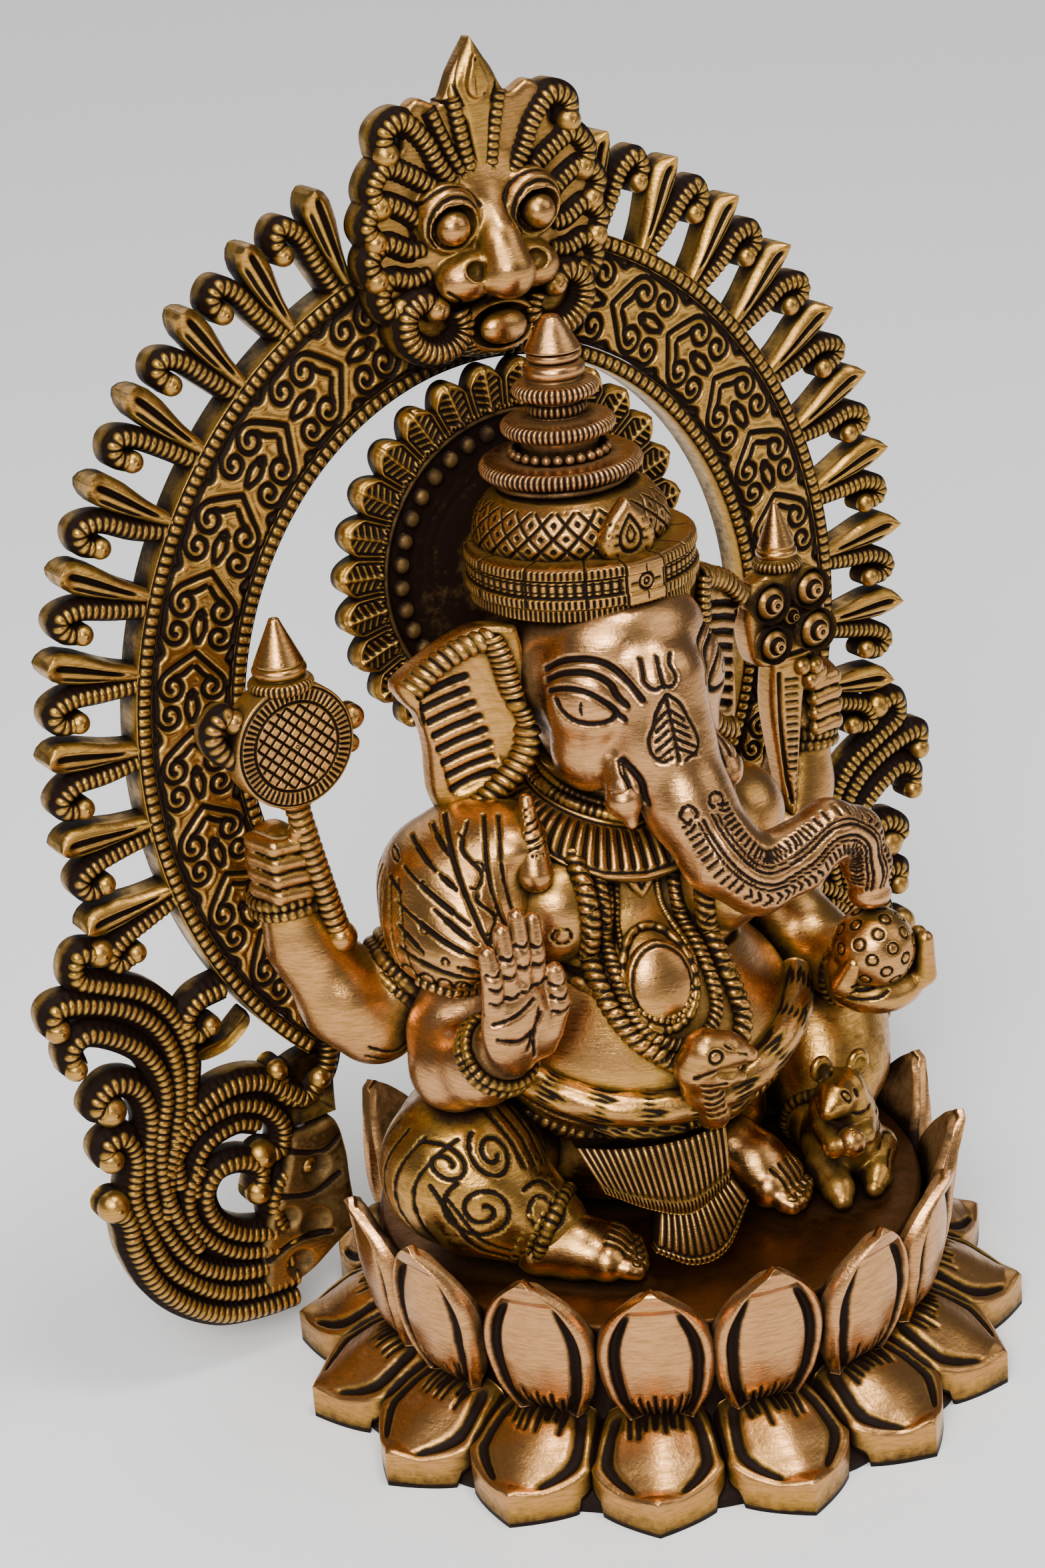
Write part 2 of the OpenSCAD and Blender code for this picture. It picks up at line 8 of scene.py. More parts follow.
import bpy
import numpy as np
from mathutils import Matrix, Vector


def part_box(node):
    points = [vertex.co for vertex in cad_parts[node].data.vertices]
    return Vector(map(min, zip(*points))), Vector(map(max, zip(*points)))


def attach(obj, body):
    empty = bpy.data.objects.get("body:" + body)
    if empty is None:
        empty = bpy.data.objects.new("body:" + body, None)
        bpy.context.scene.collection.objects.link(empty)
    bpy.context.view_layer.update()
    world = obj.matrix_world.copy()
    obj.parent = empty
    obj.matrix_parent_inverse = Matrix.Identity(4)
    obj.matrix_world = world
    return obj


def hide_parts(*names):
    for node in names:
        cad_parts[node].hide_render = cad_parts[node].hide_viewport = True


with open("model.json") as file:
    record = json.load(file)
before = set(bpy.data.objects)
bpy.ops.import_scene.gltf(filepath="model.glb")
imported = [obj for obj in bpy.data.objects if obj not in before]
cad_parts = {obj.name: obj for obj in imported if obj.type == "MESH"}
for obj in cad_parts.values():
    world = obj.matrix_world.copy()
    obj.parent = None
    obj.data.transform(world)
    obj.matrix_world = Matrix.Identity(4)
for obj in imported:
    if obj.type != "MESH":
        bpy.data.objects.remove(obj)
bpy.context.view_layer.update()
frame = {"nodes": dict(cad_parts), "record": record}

import openvdb
from mathutils import Euler, Matrix, Vector

MM = 0.001
TAU = 2 * pi
SIDES = ((-1, "right"), (1, "left"))          # sign of x, and the figure's own side
rng = np.random.default_rng(7)


# ---- numbers taken from the frame ----

def node_box(node):
    """Lowest and highest corner of a CAD node in millimetres."""
    lo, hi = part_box(node)
    return np.array(lo) / MM, np.array(hi) / MM


RIM_LO, RIM_HI = node_box("arch_outer_beading")
INNER_LO, INNER_HI = node_box("arch_inner_beading")
RIM_W = 4.2                                   # width of each beading
ARCH_A = RIM_HI[0] - RIM_W / 2                # half-axes of the middle of the outer beading
ARCH_Z = 169.4                                # height of the middle of both ellipses
ARCH_B = RIM_HI[2] - RIM_W / 2 - ARCH_Z
INNER_A = INNER_HI[0] - RIM_W / 2
INNER_B = INNER_HI[2] - RIM_W / 2 - ARCH_Z
(_, ARCH_FRONT, _), (_, ARCH_BACK, _) = node_box("arch_band")
SEAT_Z = node_box("seat_plate")[1][2]
LEAF_STEP = 9.6                               # degrees from one flame to the next
FIRST_LEAF = 18.0
LEAVES = 10


# ---- mesh making ----

def grid_faces(rows, cols, wrap=True):
    """Quads of a grid of rows x cols points; wrap joins the last column to the first."""
    i = np.arange(rows - 1)[:, None] * cols
    j = np.arange(cols if wrap else cols - 1)[None, :]
    k = (j + 1) % cols
    return np.stack([i + j, i + k, i + cols + k, i + cols + j], -1).reshape(-1, 4)


class Shape:
    """Points, quads and a groove value per point, gathered from several parts of one piece."""

    def __init__(self):
        self.co, self.quads, self.groove, self.count = [], [], [], 0

    def add(self, co, quads, groove=None):
        co = np.asarray(co, float).reshape(-1, 3)
        self.co.append(co)
        self.quads.append(np.asarray(quads, int) + self.count)
        self.groove.append(np.zeros(len(co)) if groove is None else np.asarray(groove, float).reshape(-1))
        self.count += len(co)

    def loft(self, rings, groove=None, caps=True):
        """A closed skin over rings of points, shape (rings, points, 3)."""
        rings = np.asarray(rings, float)
        n, k = rings.shape[:2]
        co, quads = rings.reshape(-1, 3), grid_faces(n, k)
        g = np.zeros(n * k) if groove is None else np.broadcast_to(groove, (n, k)).reshape(-1).copy()
        if caps:
            ends = [(0, True), (n - 1, False)]
            for row, flip in ends:
                centre = len(co)
                co = np.vstack([co, rings[row].mean(0)])
                g = np.append(g, g[row * k:(row + 1) * k].mean())
                j = np.arange(0, k, 2)
                a, b, c = row * k + j, row * k + (j + 1) % k, row * k + (j + 2) % k
                cap = np.stack([a, np.full_like(a, centre), c, b], -1)
                quads = np.vstack([quads, cap[:, ::-1] if flip else cap])
        self.add(co, quads, g)

    def piece(self, nodes, slot="figure_brass", extra_dark=0.0, name=None):
        """The finished Blender object, standing for the named CAD nodes; the extra amount is added to every
        groove value, darkening all of it.
        """
        name = name or nodes + "_cast"
        co, quads = np.vstack(self.co) * MM, np.vstack(self.quads)
        mesh = bpy.data.meshes.new(name)
        mesh.vertices.add(len(co))
        mesh.vertices.foreach_set("co", co.astype(np.float32).ravel())
        mesh.loops.add(quads.size)
        mesh.loops.foreach_set("vertex_index", quads.astype(np.int32).ravel())
        mesh.polygons.add(len(quads))
        mesh.polygons.foreach_set("loop_start", np.arange(0, quads.size, 4, dtype=np.int32))
        mesh.polygons.foreach_set("use_smooth", np.full(len(quads), True))
        attribute = mesh.attributes.new("groove", "FLOAT", "POINT")
        groove = np.clip(np.concatenate(self.groove) + extra_dark, 0, 1)
        attribute.data.foreach_set("value", groove.astype(np.float32))
        mesh.update()
        mesh.validate()
        obj = bpy.data.objects.new(name, mesh)
        bpy.context.scene.collection.objects.link(obj)
        mesh.materials.append(MATERIALS[slot])
        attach(obj, "root")
        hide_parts(*nodes.split())


def smooth_path(points, step):
    """A Catmull-Rom curve through the points, resampled to equal steps."""
    p = np.asarray(points, float)
    p = np.vstack([2 * p[0] - p[1], p, 2 * p[-1] - p[-2]])
    t = np.linspace(0, 1, 24, endpoint=False)[:, None]
    curve = [0.5 * (2 * b + (c - a) * t + (2 * a - 5 * b + 4 * c - d) * t ** 2 + (3 * b - a - 3 * c + d)
        * t ** 3) for a, b, c, d in zip(p, p[1:], p[2:], p[3:])]
    curve = np.vstack(curve + [p[-2][None]])
    length = np.concatenate([[0], np.cumsum(np.linalg.norm(np.diff(curve, axis=0), axis=1))])
    n = max(3, int(length[-1] / step) + 1)
    at = np.linspace(0, length[-1], n)
    return np.stack([np.interp(at, length, curve[:, i]) for i in range(curve.shape[1])], 1), at


def through(points, step):
    """A smooth path through the points; two points stay as they are."""
    return smooth_path(points, step)[0] if len(points) > 2 else np.asarray(points, float)


def unit(v):
    """The vectors in the last axis of v, at length 1."""
    v = np.asarray(v, float)
    return v / np.maximum(np.linalg.norm(v, axis=-1, keepdims=True), 1e-9)


def bump(x, width):
    """1 at 0, falling smoothly to 0 at +-width."""
    return np.clip(1 - (np.asarray(x) / width) ** 2, 0, 1) ** 2


def ease(x, lo, hi):
    """0 below lo, 1 above hi, smooth between."""
    t = np.clip((np.asarray(x) - lo) / (hi - lo), 0, 1)
    return t * t * (3 - 2 * t)


def within(x, a, b, c, d):
    """0 below a, 1 from b to c, 0 above d."""
    return ease(x, a, b) * (1 - ease(x, c, d))


def most(*fields):
    """The largest of several fields, which may differ in shape."""
    out = fields[0]
    for field in fields[1:]:
        out = np.maximum(out, field)
    return out


def slab(shape, half_width, front, back, nt, ns, edge, edge_groove):
    """A leaf-like body: t runs from root to tip, s from -1 to 1 across.

    half_width(t) is its outline; front(w, t, s) and back(w, t, s) give points, and front also a groove.
    There are nt steps along it, ns across it and edge round its side.
    """
    t = np.sin(np.linspace(0, pi / 2, nt))
    s = np.linspace(-1, 1, ns)
    t2, s2 = t[:, None], s[None, :]
    w = half_width(t2) * s2
    face, groove = front(w, t2, s2)
    rear = back(w, t2, s2)[:, ::-1]
    f = np.linspace(0, 1, edge + 2)[1:-1][None, :, None]
    right = face[:, -1:] * (1 - f) + rear[:, :1] * f
    left = rear[:, -1:] * (1 - f) + face[:, :1] * f
    rings = np.concatenate([face, right, rear, left], 1)
    side = np.full((nt, edge), edge_groove)
    g = np.concatenate([np.broadcast_to(groove, (nt, ns)), side, np.full((nt, ns), 0.4), side], 1)
    shape.loft(rings, g)


def in_plane(n, y):
    """3-D points from (x, z) points and a y value or values."""
    n = np.asarray(n, float)
    return np.stack([n[..., 0], np.broadcast_to(y, n.shape[:-1]), n[..., 1]], -1)


def relief_rope(shape, points, radius, y_top, y_back, pitch=1.9, depth=0.3, flange=1.0, ball=0.0,
        ends=(1, 1)):
    """A ribbed rope in the arch plane that stands proud of its own wall.

    points are (x, z); y_top is its front, y_back the wall's back; ball is the radius of a knob at its end.
    """
    path, at = smooth_path(points, pitch / 6)
    tangent = unit(np.gradient(path, axis=0))
    across = np.stack([-tangent[:, 1], tangent[:, 0]], 1)
    total = at[-1]
    taper = np.interp(at / total, [0, 0.15, 0.85, 1], [ends[0], 1, 1, ends[1]])
    rib = np.abs(np.sin(pi * at / pitch)) ** 0.6
    r = radius * taper * (1 - depth * (1 - rib))
    arc = np.linspace(0, pi, 11)
    n = np.cos(arc)[None, :] * r[:, None]
    y = (y_top + radius) - np.sin(arc)[None, :] * r[:, None]
    foot = (radius * taper + flange)[:, None]
    mid = np.full_like(foot, y_top + radius * 1.35)
    rear = (y_back - 0.8 * at / total)[:, None]          # sloped, so a curl's turns don't share a plane
    n = np.concatenate([foot, foot, n, -foot, -foot], 1)
    y = np.concatenate([rear, mid, y, mid, rear], 1)
    xz = path[:, None, :] + across[:, None, :] * n[..., None]
    rings = np.stack([xz[..., 0], y, xz[..., 1]], -1)
    dark = 1 - rib[:, None] * np.sin(arc)[None, :] ** 0.5
    g = np.concatenate([np.full_like(foot, 0.1), np.full_like(foot, 0.6), dark, np.full_like(foot, 0.6),
        np.full_like(foot, 0.1)], 1)
    shape.loft(rings[:, ::-1], g[:, ::-1])
    if ball:
        knob(shape, path[-1], ball, y_top - ball * 0.15, y_back - 1)


def knob(shape, centre, r, y_top, y_back, groove=0.0):
    """A round-headed stud in the arch plane."""
    a = np.linspace(0, TAU, 20, endpoint=False)
    lat = np.linspace(0.05, pi / 2, 8)
    radii = np.concatenate([r * np.sin(lat), [r, r]])
    y = np.concatenate([y_top + r - r * np.cos(lat), [y_top + r * 1.2, y_back]])
    rings = np.stack([centre[0] + radii[:, None] * np.cos(a), np.broadcast_to(y[:, None], (len(y), len(a))),
        centre[1] + radii[:, None] * np.sin(a)], -1)
    g = np.concatenate([np.full(8, groove), [0.7, 0.2]])[:, None]
    shape.loft(rings, np.broadcast_to(g, rings.shape[:2]))


# ---- materials ----

def brass(name, gold, polish, deep, polish_amount, rough=0.32, groove_bias=0.0):
    """Antiqued cast brass: black patina in grooves, painted shade in corners, gold on slopes, polish on high
    places.
    """
    mat = bpy.data.materials.new(name)
    mat.use_nodes = True
    nodes, links = mat.node_tree.nodes, mat.node_tree.links
    bsdf = nodes["Principled BSDF"]
    bsdf.inputs["Metallic"].default_value = 1.0

    def node(kind, **values):
        n = nodes.new(kind)
        for key, value in values.items():
            if key in n.inputs:
                n.inputs[key].default_value = value
            else:
                setattr(n, key, value)
        return n

    def ramp(source, stops):
        r = node("ShaderNodeValToRGB")
        r.color_ramp.elements[0].position, r.color_ramp.elements[0].color = stops[0][0], (*stops[0][1], 1)
        r.color_ramp.elements[1].position, r.color_ramp.elements[1].color = stops[-1][0], (*stops[-1][1], 1)
        for pos, colour in stops[1:-1]:
            e = r.color_ramp.elements.new(pos)
            e.color = (*colour, 1)
        links.new(source, r.inputs[0])
        return r.outputs[0]

    def feed(*pairs):
        for socket, value in pairs:
            if isinstance(value, bpy.types.NodeSocket):
                links.new(value, socket)
            else:
                socket.default_value = (*value, 1) if isinstance(value, tuple) else value

    def mix(a, b, factor):
        m = node("ShaderNodeMix", data_type="RGBA")
        feed((m.inputs[0], factor), (m.inputs[6], a), (m.inputs[7], b))
        return m.outputs[2]

    def math_node(op, a, b, clamp=False):
        m = node("ShaderNodeMath", operation=op, use_clamp=clamp)
        feed((m.inputs[0], a), (m.inputs[1], b))
        return m.outputs[0]

    def add(a, b, clamp=False):
        return math_node("ADD", a, b, clamp)

    def times(a, b):
        return math_node("MULTIPLY", a, b)

    def swing(a, amount):
        return times(math_node("SUBTRACT", a, 0.5), amount)

    where = node("ShaderNodeTexCoord").outputs["Object"]

    def noise(scale, detail=4.0, rough_=0.55, stretch=None):
        n = node("ShaderNodeTexNoise", Scale=scale, Detail=detail, Roughness=rough_)
        source = where
        if stretch:
            mapping = node("ShaderNodeMapping")
            mapping.inputs["Scale"].default_value = stretch
            links.new(where, mapping.inputs[0])
            source = mapping.outputs[0]
        links.new(source, n.inputs["Vector"])
        return n.outputs["Fac"]

    groove = node("ShaderNodeAttribute", attribute_name="groove").outputs["Fac"]
    # painted shade: ambient occlusion darkens the colour in corners and where parts meet
    occlusion = node("ShaderNodeAmbientOcclusion", samples=6, Distance=0.007)
    painted_shade = math_node("SUBTRACT", 1.0, occlusion.outputs["AO"])
    cloudy, fine, pits = noise(48.0), noise(420.0, 5.0, 0.65), noise(1100.0, 3.0, 0.6)
    brushed = noise(230.0, 3.0, 0.6, (1.0, 1.0, 9.0))
    # grooves hold black patina; corners get painted shade from ambient occlusion; the casting's grain breaks
    # both up
    patina_and_shade = add(times(groove, 1.15), times(painted_shade, 1.15))
    patina_and_shade = add(patina_and_shade, swing(fine, 0.6))
    patina_and_shade = add(patina_and_shade, swing(cloudy, 0.55))
    patina_and_shade = add(patina_and_shade, groove_bias)
    rubbed_and_unshaded = math_node("SUBTRACT", 1.0, patina_and_shade, clamp=True)
    # the polish tone is kept off the grooves and off the painted-shade corners, so open places are painted
    # lighter
    shine = ramp(add(times(rubbed_and_unshaded, 0.6), times(cloudy, 0.4)),
        [(0.62 - 0.3 * polish_amount, (0, 0, 0)), (0.92 - 0.3 * polish_amount, (1, 1, 1))])
    metal = mix(gold, polish, shine)
    metal = mix(metal, tuple(0.5 * c for c in gold),
        ramp(brushed, [(0.42, (0, 0, 0)), (0.72, (0.6, 0.6, 0.6))]))
    # coverage mixes in the black patina colour, over the grooves and over the painted-shade corners
    coverage = ramp(patina_and_shade, [(0.27, (0, 0, 0)), (0.46, (0.6, 0.6, 0.6)), (0.69, (1, 1, 1))])
    links.new(mix(metal, deep, coverage), bsdf.inputs["Base Color"])
    links.new(math_node("SUBTRACT", 1.0, times(coverage, 0.85)), bsdf.inputs["Metallic"])
    bsdf.inputs["Specular IOR Level"].default_value = 0.1
    rough_value = add(rough, swing(brushed, 0.35))
    links.new(add(rough_value, times(coverage, 0.3), clamp=True), bsdf.inputs["Roughness"])
    height = add(times(brushed, 0.3), add(times(fine, 0.6), times(pits, 0.4)))
    relief = node("ShaderNodeBump", Strength=0.4, Distance=0.0004)
    links.new(height, relief.inputs["Height"])
    links.new(relief.outputs[0], bsdf.inputs["Normal"])
    return mat


GOLD = (0.44, 0.235, 0.026)
PINK = (0.56, 0.275, 0.098)
BLACK = (0.010, 0.004, 0.002)
MATERIALS = {
    "base_brass": brass("base_brass", GOLD, PINK, BLACK, 0.45),
    "polished_brass": brass("polished_brass", (0.48, 0.245, 0.055), (0.60, 0.30, 0.12), BLACK, 1.0, 0.27),
    "seat_brown": brass("seat_brown", (0.12, 0.048, 0.010), (0.15, 0.06, 0.016), BLACK, 0.2, 0.42, -0.15),
    "arch_brass": brass("arch_brass", (0.42, 0.23, 0.028), (0.54, 0.285, 0.075), BLACK, 0.4, 0.32),
    "figure_brass": brass("figure_brass", GOLD, PINK, BLACK, 0.4, 0.28),
    "dark_brass": brass("dark_brass", (0.26, 0.15, 0.045), (0.4, 0.23, 0.09), BLACK, 0.2, 0.4, 0.12),
    "fixing_steel": brass("fixing_steel", (0.45, 0.45, 0.46), (0.6, 0.6, 0.62), (0.05, 0.05, 0.05), 0.5,
                          0.35),
}


# ---- lotus base ----

PETALS = 16
PETAL_STEP = TAU / PETALS
LUG_ANGLE = 5.5 * PETAL_STEP                 # from the front; the upper petal is left out here
TIP_R = node_box("lower_petals")[1][1] / cos(PETAL_STEP / 2)


def turned(co, angle):
    """Points turned about Z so that -Y goes to angle, measured from the front towards +X."""
    c, s = cos(angle), sin(angle)
    x, y, z = co[..., 0], co[..., 1], co[..., 2]
    return np.stack([c * x - s * y, s * x + c * y, z], -1)


def curved(w, r, z, bend, angle, shift=0.0):
    """Points at radius r, brought in by bend across the width w and turned to angle."""
    y = -np.sqrt(np.maximum(r * r - bend, 1))
    return turned(np.stack(np.broadcast_arrays(w + shift, y, z), -1), angle)


def strokes_at(s, t, offsets, ends, half, drift):
    """The short engraved lines at a petal's root: each runs at its own offset and stops at its own end."""
    cut = np.zeros(np.broadcast(s, t).shape)
    for offset, end in zip(offsets, ends):
        cut = np.maximum(cut, bump(drift(s, offset), half) * (1 - ease(t, end - 0.06, end)))
    return cut


def lower_petals():
    shape = Shape()
    root, neck, tip = 66.4, 81.5, TIP_R - 0.3       # radii: the petals narrow from the neck on
    for i in range(PETALS):
        angle = (i + 0.5) * PETAL_STEP + rng.normal(0, 0.006)
        reach = tip - rng.uniform(0, 1.2)
        strokes = np.linspace(-0.46, 0.46, 7) + rng.normal(0, 0.02, 7)
        ends = rng.uniform(0.30, 0.46, 7)
        lift = rng.uniform(0.6, 1.6)

        def half_width(t):
            r = root + (reach - root) * t
            u = np.clip((r - neck) / (reach - neck), 0, 1)
            return np.minimum(r, neck) * tan(PETAL_STEP / 2) * (1 - u ** 1.6) - 0.25 * (1 - u)

        def front(w, t, s):
            r = root + (reach - root) * t
            z = np.interp(r, [66, 70, 75, 80, 86, 91, 96], [19.6, 19.0, 17.2, 14.4, 11.2, 9.2, 8.4])
            z = z + lift * ease(t, 0.8, 0.96) * (1 - 0.6 * ease(t, 0.96, 1))
            z = z + 1.6 * bump(s, 0.62) * bump(t - 0.5, 0.48)
            z = z - (3.4 - 2.4 * t) * np.abs(s) ** 3
            side = 0.66 + 0.10 * bump(t - 0.45, 0.4)
            line = bump(np.abs(s) - side, 0.17) * within(t, 0.05, 0.2, 0.76, 0.86)
            cut = strokes_at(s, t, strokes, ends, 0.052, lambda s, offset: s - offset * (1 - 0.25 * t))
            groove = np.maximum(line, cut)
            crease = ease(np.abs(s), 0.86, 1.0) * (1 - ease(t, 0.4, 0.62))
            z = z - 1.4 * groove - 1.4 * crease
            return curved(w, r, z, 0.35 * w * w, angle), np.maximum(groove, 0.8 * crease)

        def back(w, t, s):
            r = root + (reach - root) * t
            z = np.interp(r, [66, 70, 85, 85.3, 96], [14.6, 12.6, 3.4, 0, 0])
            return curved(w, r, z, 0.35 * w * w, angle)

        slab(shape, half_width, front, back, 62, 44, 5, 0.12)
    shape.piece("lower_petals", "base_brass")


def upper_petals():
    shape = Shape()
    foot_z = 18.2
    for i in range(PETALS):
        angle = (i + 0.5) * PETAL_STEP
        if min(abs(angle - LUG_ANGLE), abs(TAU - angle - LUG_ANGLE)) < 0.1:
            continue
        angle += rng.normal(0, 0.01)
        top = 60.8 - rng.uniform(0, 2.2)
        lean = rng.uniform(-0.9, 0.3)
        strokes = np.linspace(-0.56, 0.56, 8) + rng.normal(0, 0.025, 8)
        ends = rng.uniform(0.15, 0.27, 8)
        tilt = rng.normal(0, 0.5)
        wide = rng.uniform(14.0, 14.7)

        def half_width(t):
            u = np.clip((t - 0.46) / 0.54, 0, 1)
            grow = np.interp(t, [0, 0.08, 0.18, 0.32, 0.46], [0.60, 0.72, 0.86, 0.96, 1.0])
            return wide * np.where(t < 0.46, grow, (1 - u ** 2.1) ** 0.92)

        def outer_r(t, s):
            r = np.interp(t, [0, 0.1, 0.2, 0.4, 0.6, 0.8, 0.92, 1],
                [72.4, 74.2, 75.6, 77.4, 78.2, 79.4, 81.0, 82.4])
            return r + lean * t

        def front(w, t, s):
            z = foot_z + (top - foot_z) * t
            side = np.abs(s)
            rim = np.maximum(ease(side, 0.74, 0.84), ease(t, 0.80, 0.87))
            pillow = np.sqrt(np.clip(1 - (side / 0.8) ** 2, 0, 1))
            pillow = pillow * (1 - ease(t, 0.5, 0.94)) * ease(t, -0.05, 0.16)
            inner = bump(side - (0.70 - 0.05 * ease(t, 0.6, 0.9)), 0.15)
            inner = inner * (1 - ease(t, 0.72, 0.83)) * ease(t, 0.0, 0.06)
            cut = strokes_at(s, t, strokes, ends, 0.05, lambda s, offset: s - offset - 0.05 * t)
            groove = np.maximum(inner, cut)
            r = outer_r(t, s) - 2.0 * (1 - rim) + 2.6 * pillow - 1.3 * groove
            r = r - 2.2 * ease(side, 0.86, 1.0) ** 2 - 1.3 * ease(t, 0.94, 1.0) ** 2
            return curved(w, r, z, w * w * 0.9, angle, tilt * t), groove

        def back(w, t, s):
            z = foot_z + 2.2 + (top - 0.2 - (foot_z + 2.2)) * t
            r = np.maximum(outer_r(t, s) - 6.6 + 2.2 * ease(t, 0.55, 0.9), 67.5)
            r = r + 1.8 * ease(np.abs(s), 0.86, 1.0) ** 2 + 1.4 * ease(t, 0.93, 1.0) ** 2
            r = np.where(z > SEAT_Z - 4.4, np.maximum(r, 70.3), r)
            return curved(w, r, z, w * w * 0.9, angle, tilt * t)

        slab(shape, half_width, front, back, 68, 46, 5, 0.0)
    shape.piece("upper_petals", "polished_brass")


def ring_profile(shape, profile, y, steps, ripple=None, closed=False, x=0.0):
    """A turned shape: profile is (r, z) from the bottom up; ripple(angle, r, z) adds to r, and a groove."""
    profile = np.asarray(profile, float)
    a = np.linspace(0, TAU, steps, endpoint=False)
    r = np.broadcast_to(profile[:, :1], (len(profile), steps)).copy()
    g = np.zeros_like(r)
    if ripple is not None:
        add, dark = ripple(a[None, :], r, profile[:, 1:2])
        r += add
        g = np.maximum(g, dark)
    rings = np.stack([x + r * np.sin(a), y - r * np.cos(a), np.broadcast_to(profile[:, 1:2], r.shape)], -1)
    shape.loft(rings, g, caps=not closed)


def drum():
    """The base's hollow wall, seen between the petals, with its rough cast skin."""
    shape = Shape()
    wall = [(59.9, 12.4), (68, 8.4), (76, 4.2), (77.6, 2.2), (79, 0.1), (82, 0.1), (84.9, 0.1), (84.9, 2.9),
        (78, 7.2), (70, 11.9), (66, 13.9), (65.9, 20), (65.9, 26), (65.9, 32), (65.9, 38.6), (65.2, 39),
        (60.6, 39), (60, 38.4), (60, 27)]

    def cast(a, r, z):
        lump = 0.3 * np.sin(a * 37 + z) * np.sin(a * 23 - z * 0.7)
        return -np.abs(lump) * (r > 61), 0.35 + 0.35 * np.abs(np.sin(a * 31 + z * 0.4))

    ring_profile(shape, wall + wall[:1], 0, 320, ripple=cast, closed=True)
    shape.piece("lotus_base", "base_brass")


def seat_plate():
    shape = Shape()
    lo, hi = node_box("seat_plate")
    r = hi[0]
    profile = [(2, lo[2]), (r - 1, lo[2]), (r, lo[2] + 0.8), (r, hi[2] - 0.9), (r - 0.4, hi[2] - 0.3),
        (r - 1, hi[2]), (r * 0.8, hi[2]), (r * 0.55, hi[2]), (r * 0.3, hi[2]), (2, hi[2])]
    ring_profile(shape, profile, 0, 128)
    shape.piece("seat_plate", "seat_brown")


# ---- arch ----

def ellipse(a, b, deg):
    rad = np.radians(deg)
    return np.stack([a * np.sin(rad), ARCH_Z + b * np.cos(rad)], -1)


def even_angles(a, b, end, step):
    """Angles from -end to end that are evenly spaced along the ellipse."""
    fine = np.linspace(-end, end, 4000)
    p = ellipse(a, b, fine)
    length = np.concatenate([[0], np.cumsum(np.linalg.norm(np.diff(p, axis=0), axis=1))])
    n = int(length[-1] / step)
    return np.interp(np.linspace(0, length[-1], n), length, fine), length[-1]


def nearest(points, lines):
    """Distance from each 2-D point to the nearest of the polylines."""
    best = np.full(len(points), 1e9)
    for line in lines:
        line = np.asarray(line, float)
        for a, b in zip(line, line[1:]):
            d = b - a
            t = np.clip(((points - a) @ d) / max(d @ d, 1e-9), 0, 1)
            best = np.minimum(best, np.linalg.norm(points - a - t[:, None] * d, axis=1))
    return best


def spiral(centre, r0, r1, start, turns, n=26):
    """A spiral line from radius r0 to r1, starting at the angle start, in degrees."""
    a = radians(start) + np.linspace(0, turns * TAU, n)
    r = np.linspace(r0, r1, n)
    return np.stack([centre[0] + r * np.cos(a), centre[1] + r * np.sin(a)], 1)


REPEAT = 19.6                                 # length of one repeat of the arch's engraving
BAND_END = 143.0                              # degrees from the top at which the band ends


def heart_scrolls():
    """The lines of one repeat of the arch's engraving: u along the band, v across it."""
    lines = []
    for k in (-1, 1):
        for line in (np.vstack([[(1.0, 0), (3.4, 3.4), (6.2, 7.2)],
                spiral((9.6, 5.2), 3.9, 1.0, 150, -1.35)]), [(4.6, 0.6), (6.6, 3.0), (7.2, 5.0)],
                np.vstack([[(10.2, 9.6), (13.0, 9.4)], spiral((16.2, 5.8), 3.6, 0.9, 110, -1.3)]),
                [(12.6, 1.2), (15.0, 1.6), (18.2, 0.4)], [(-1.0, 9.8), (2.0, 8.6), (3.6, 10.0)]):
            lines.append(smooth_path(line, 0.5)[0] * np.array([1, k]))
    lines.append(np.array([(10.4, 0), (11.4, 1.1), (12.4, 0), (11.4, -1.1), (10.4, 0)]))
    return lines


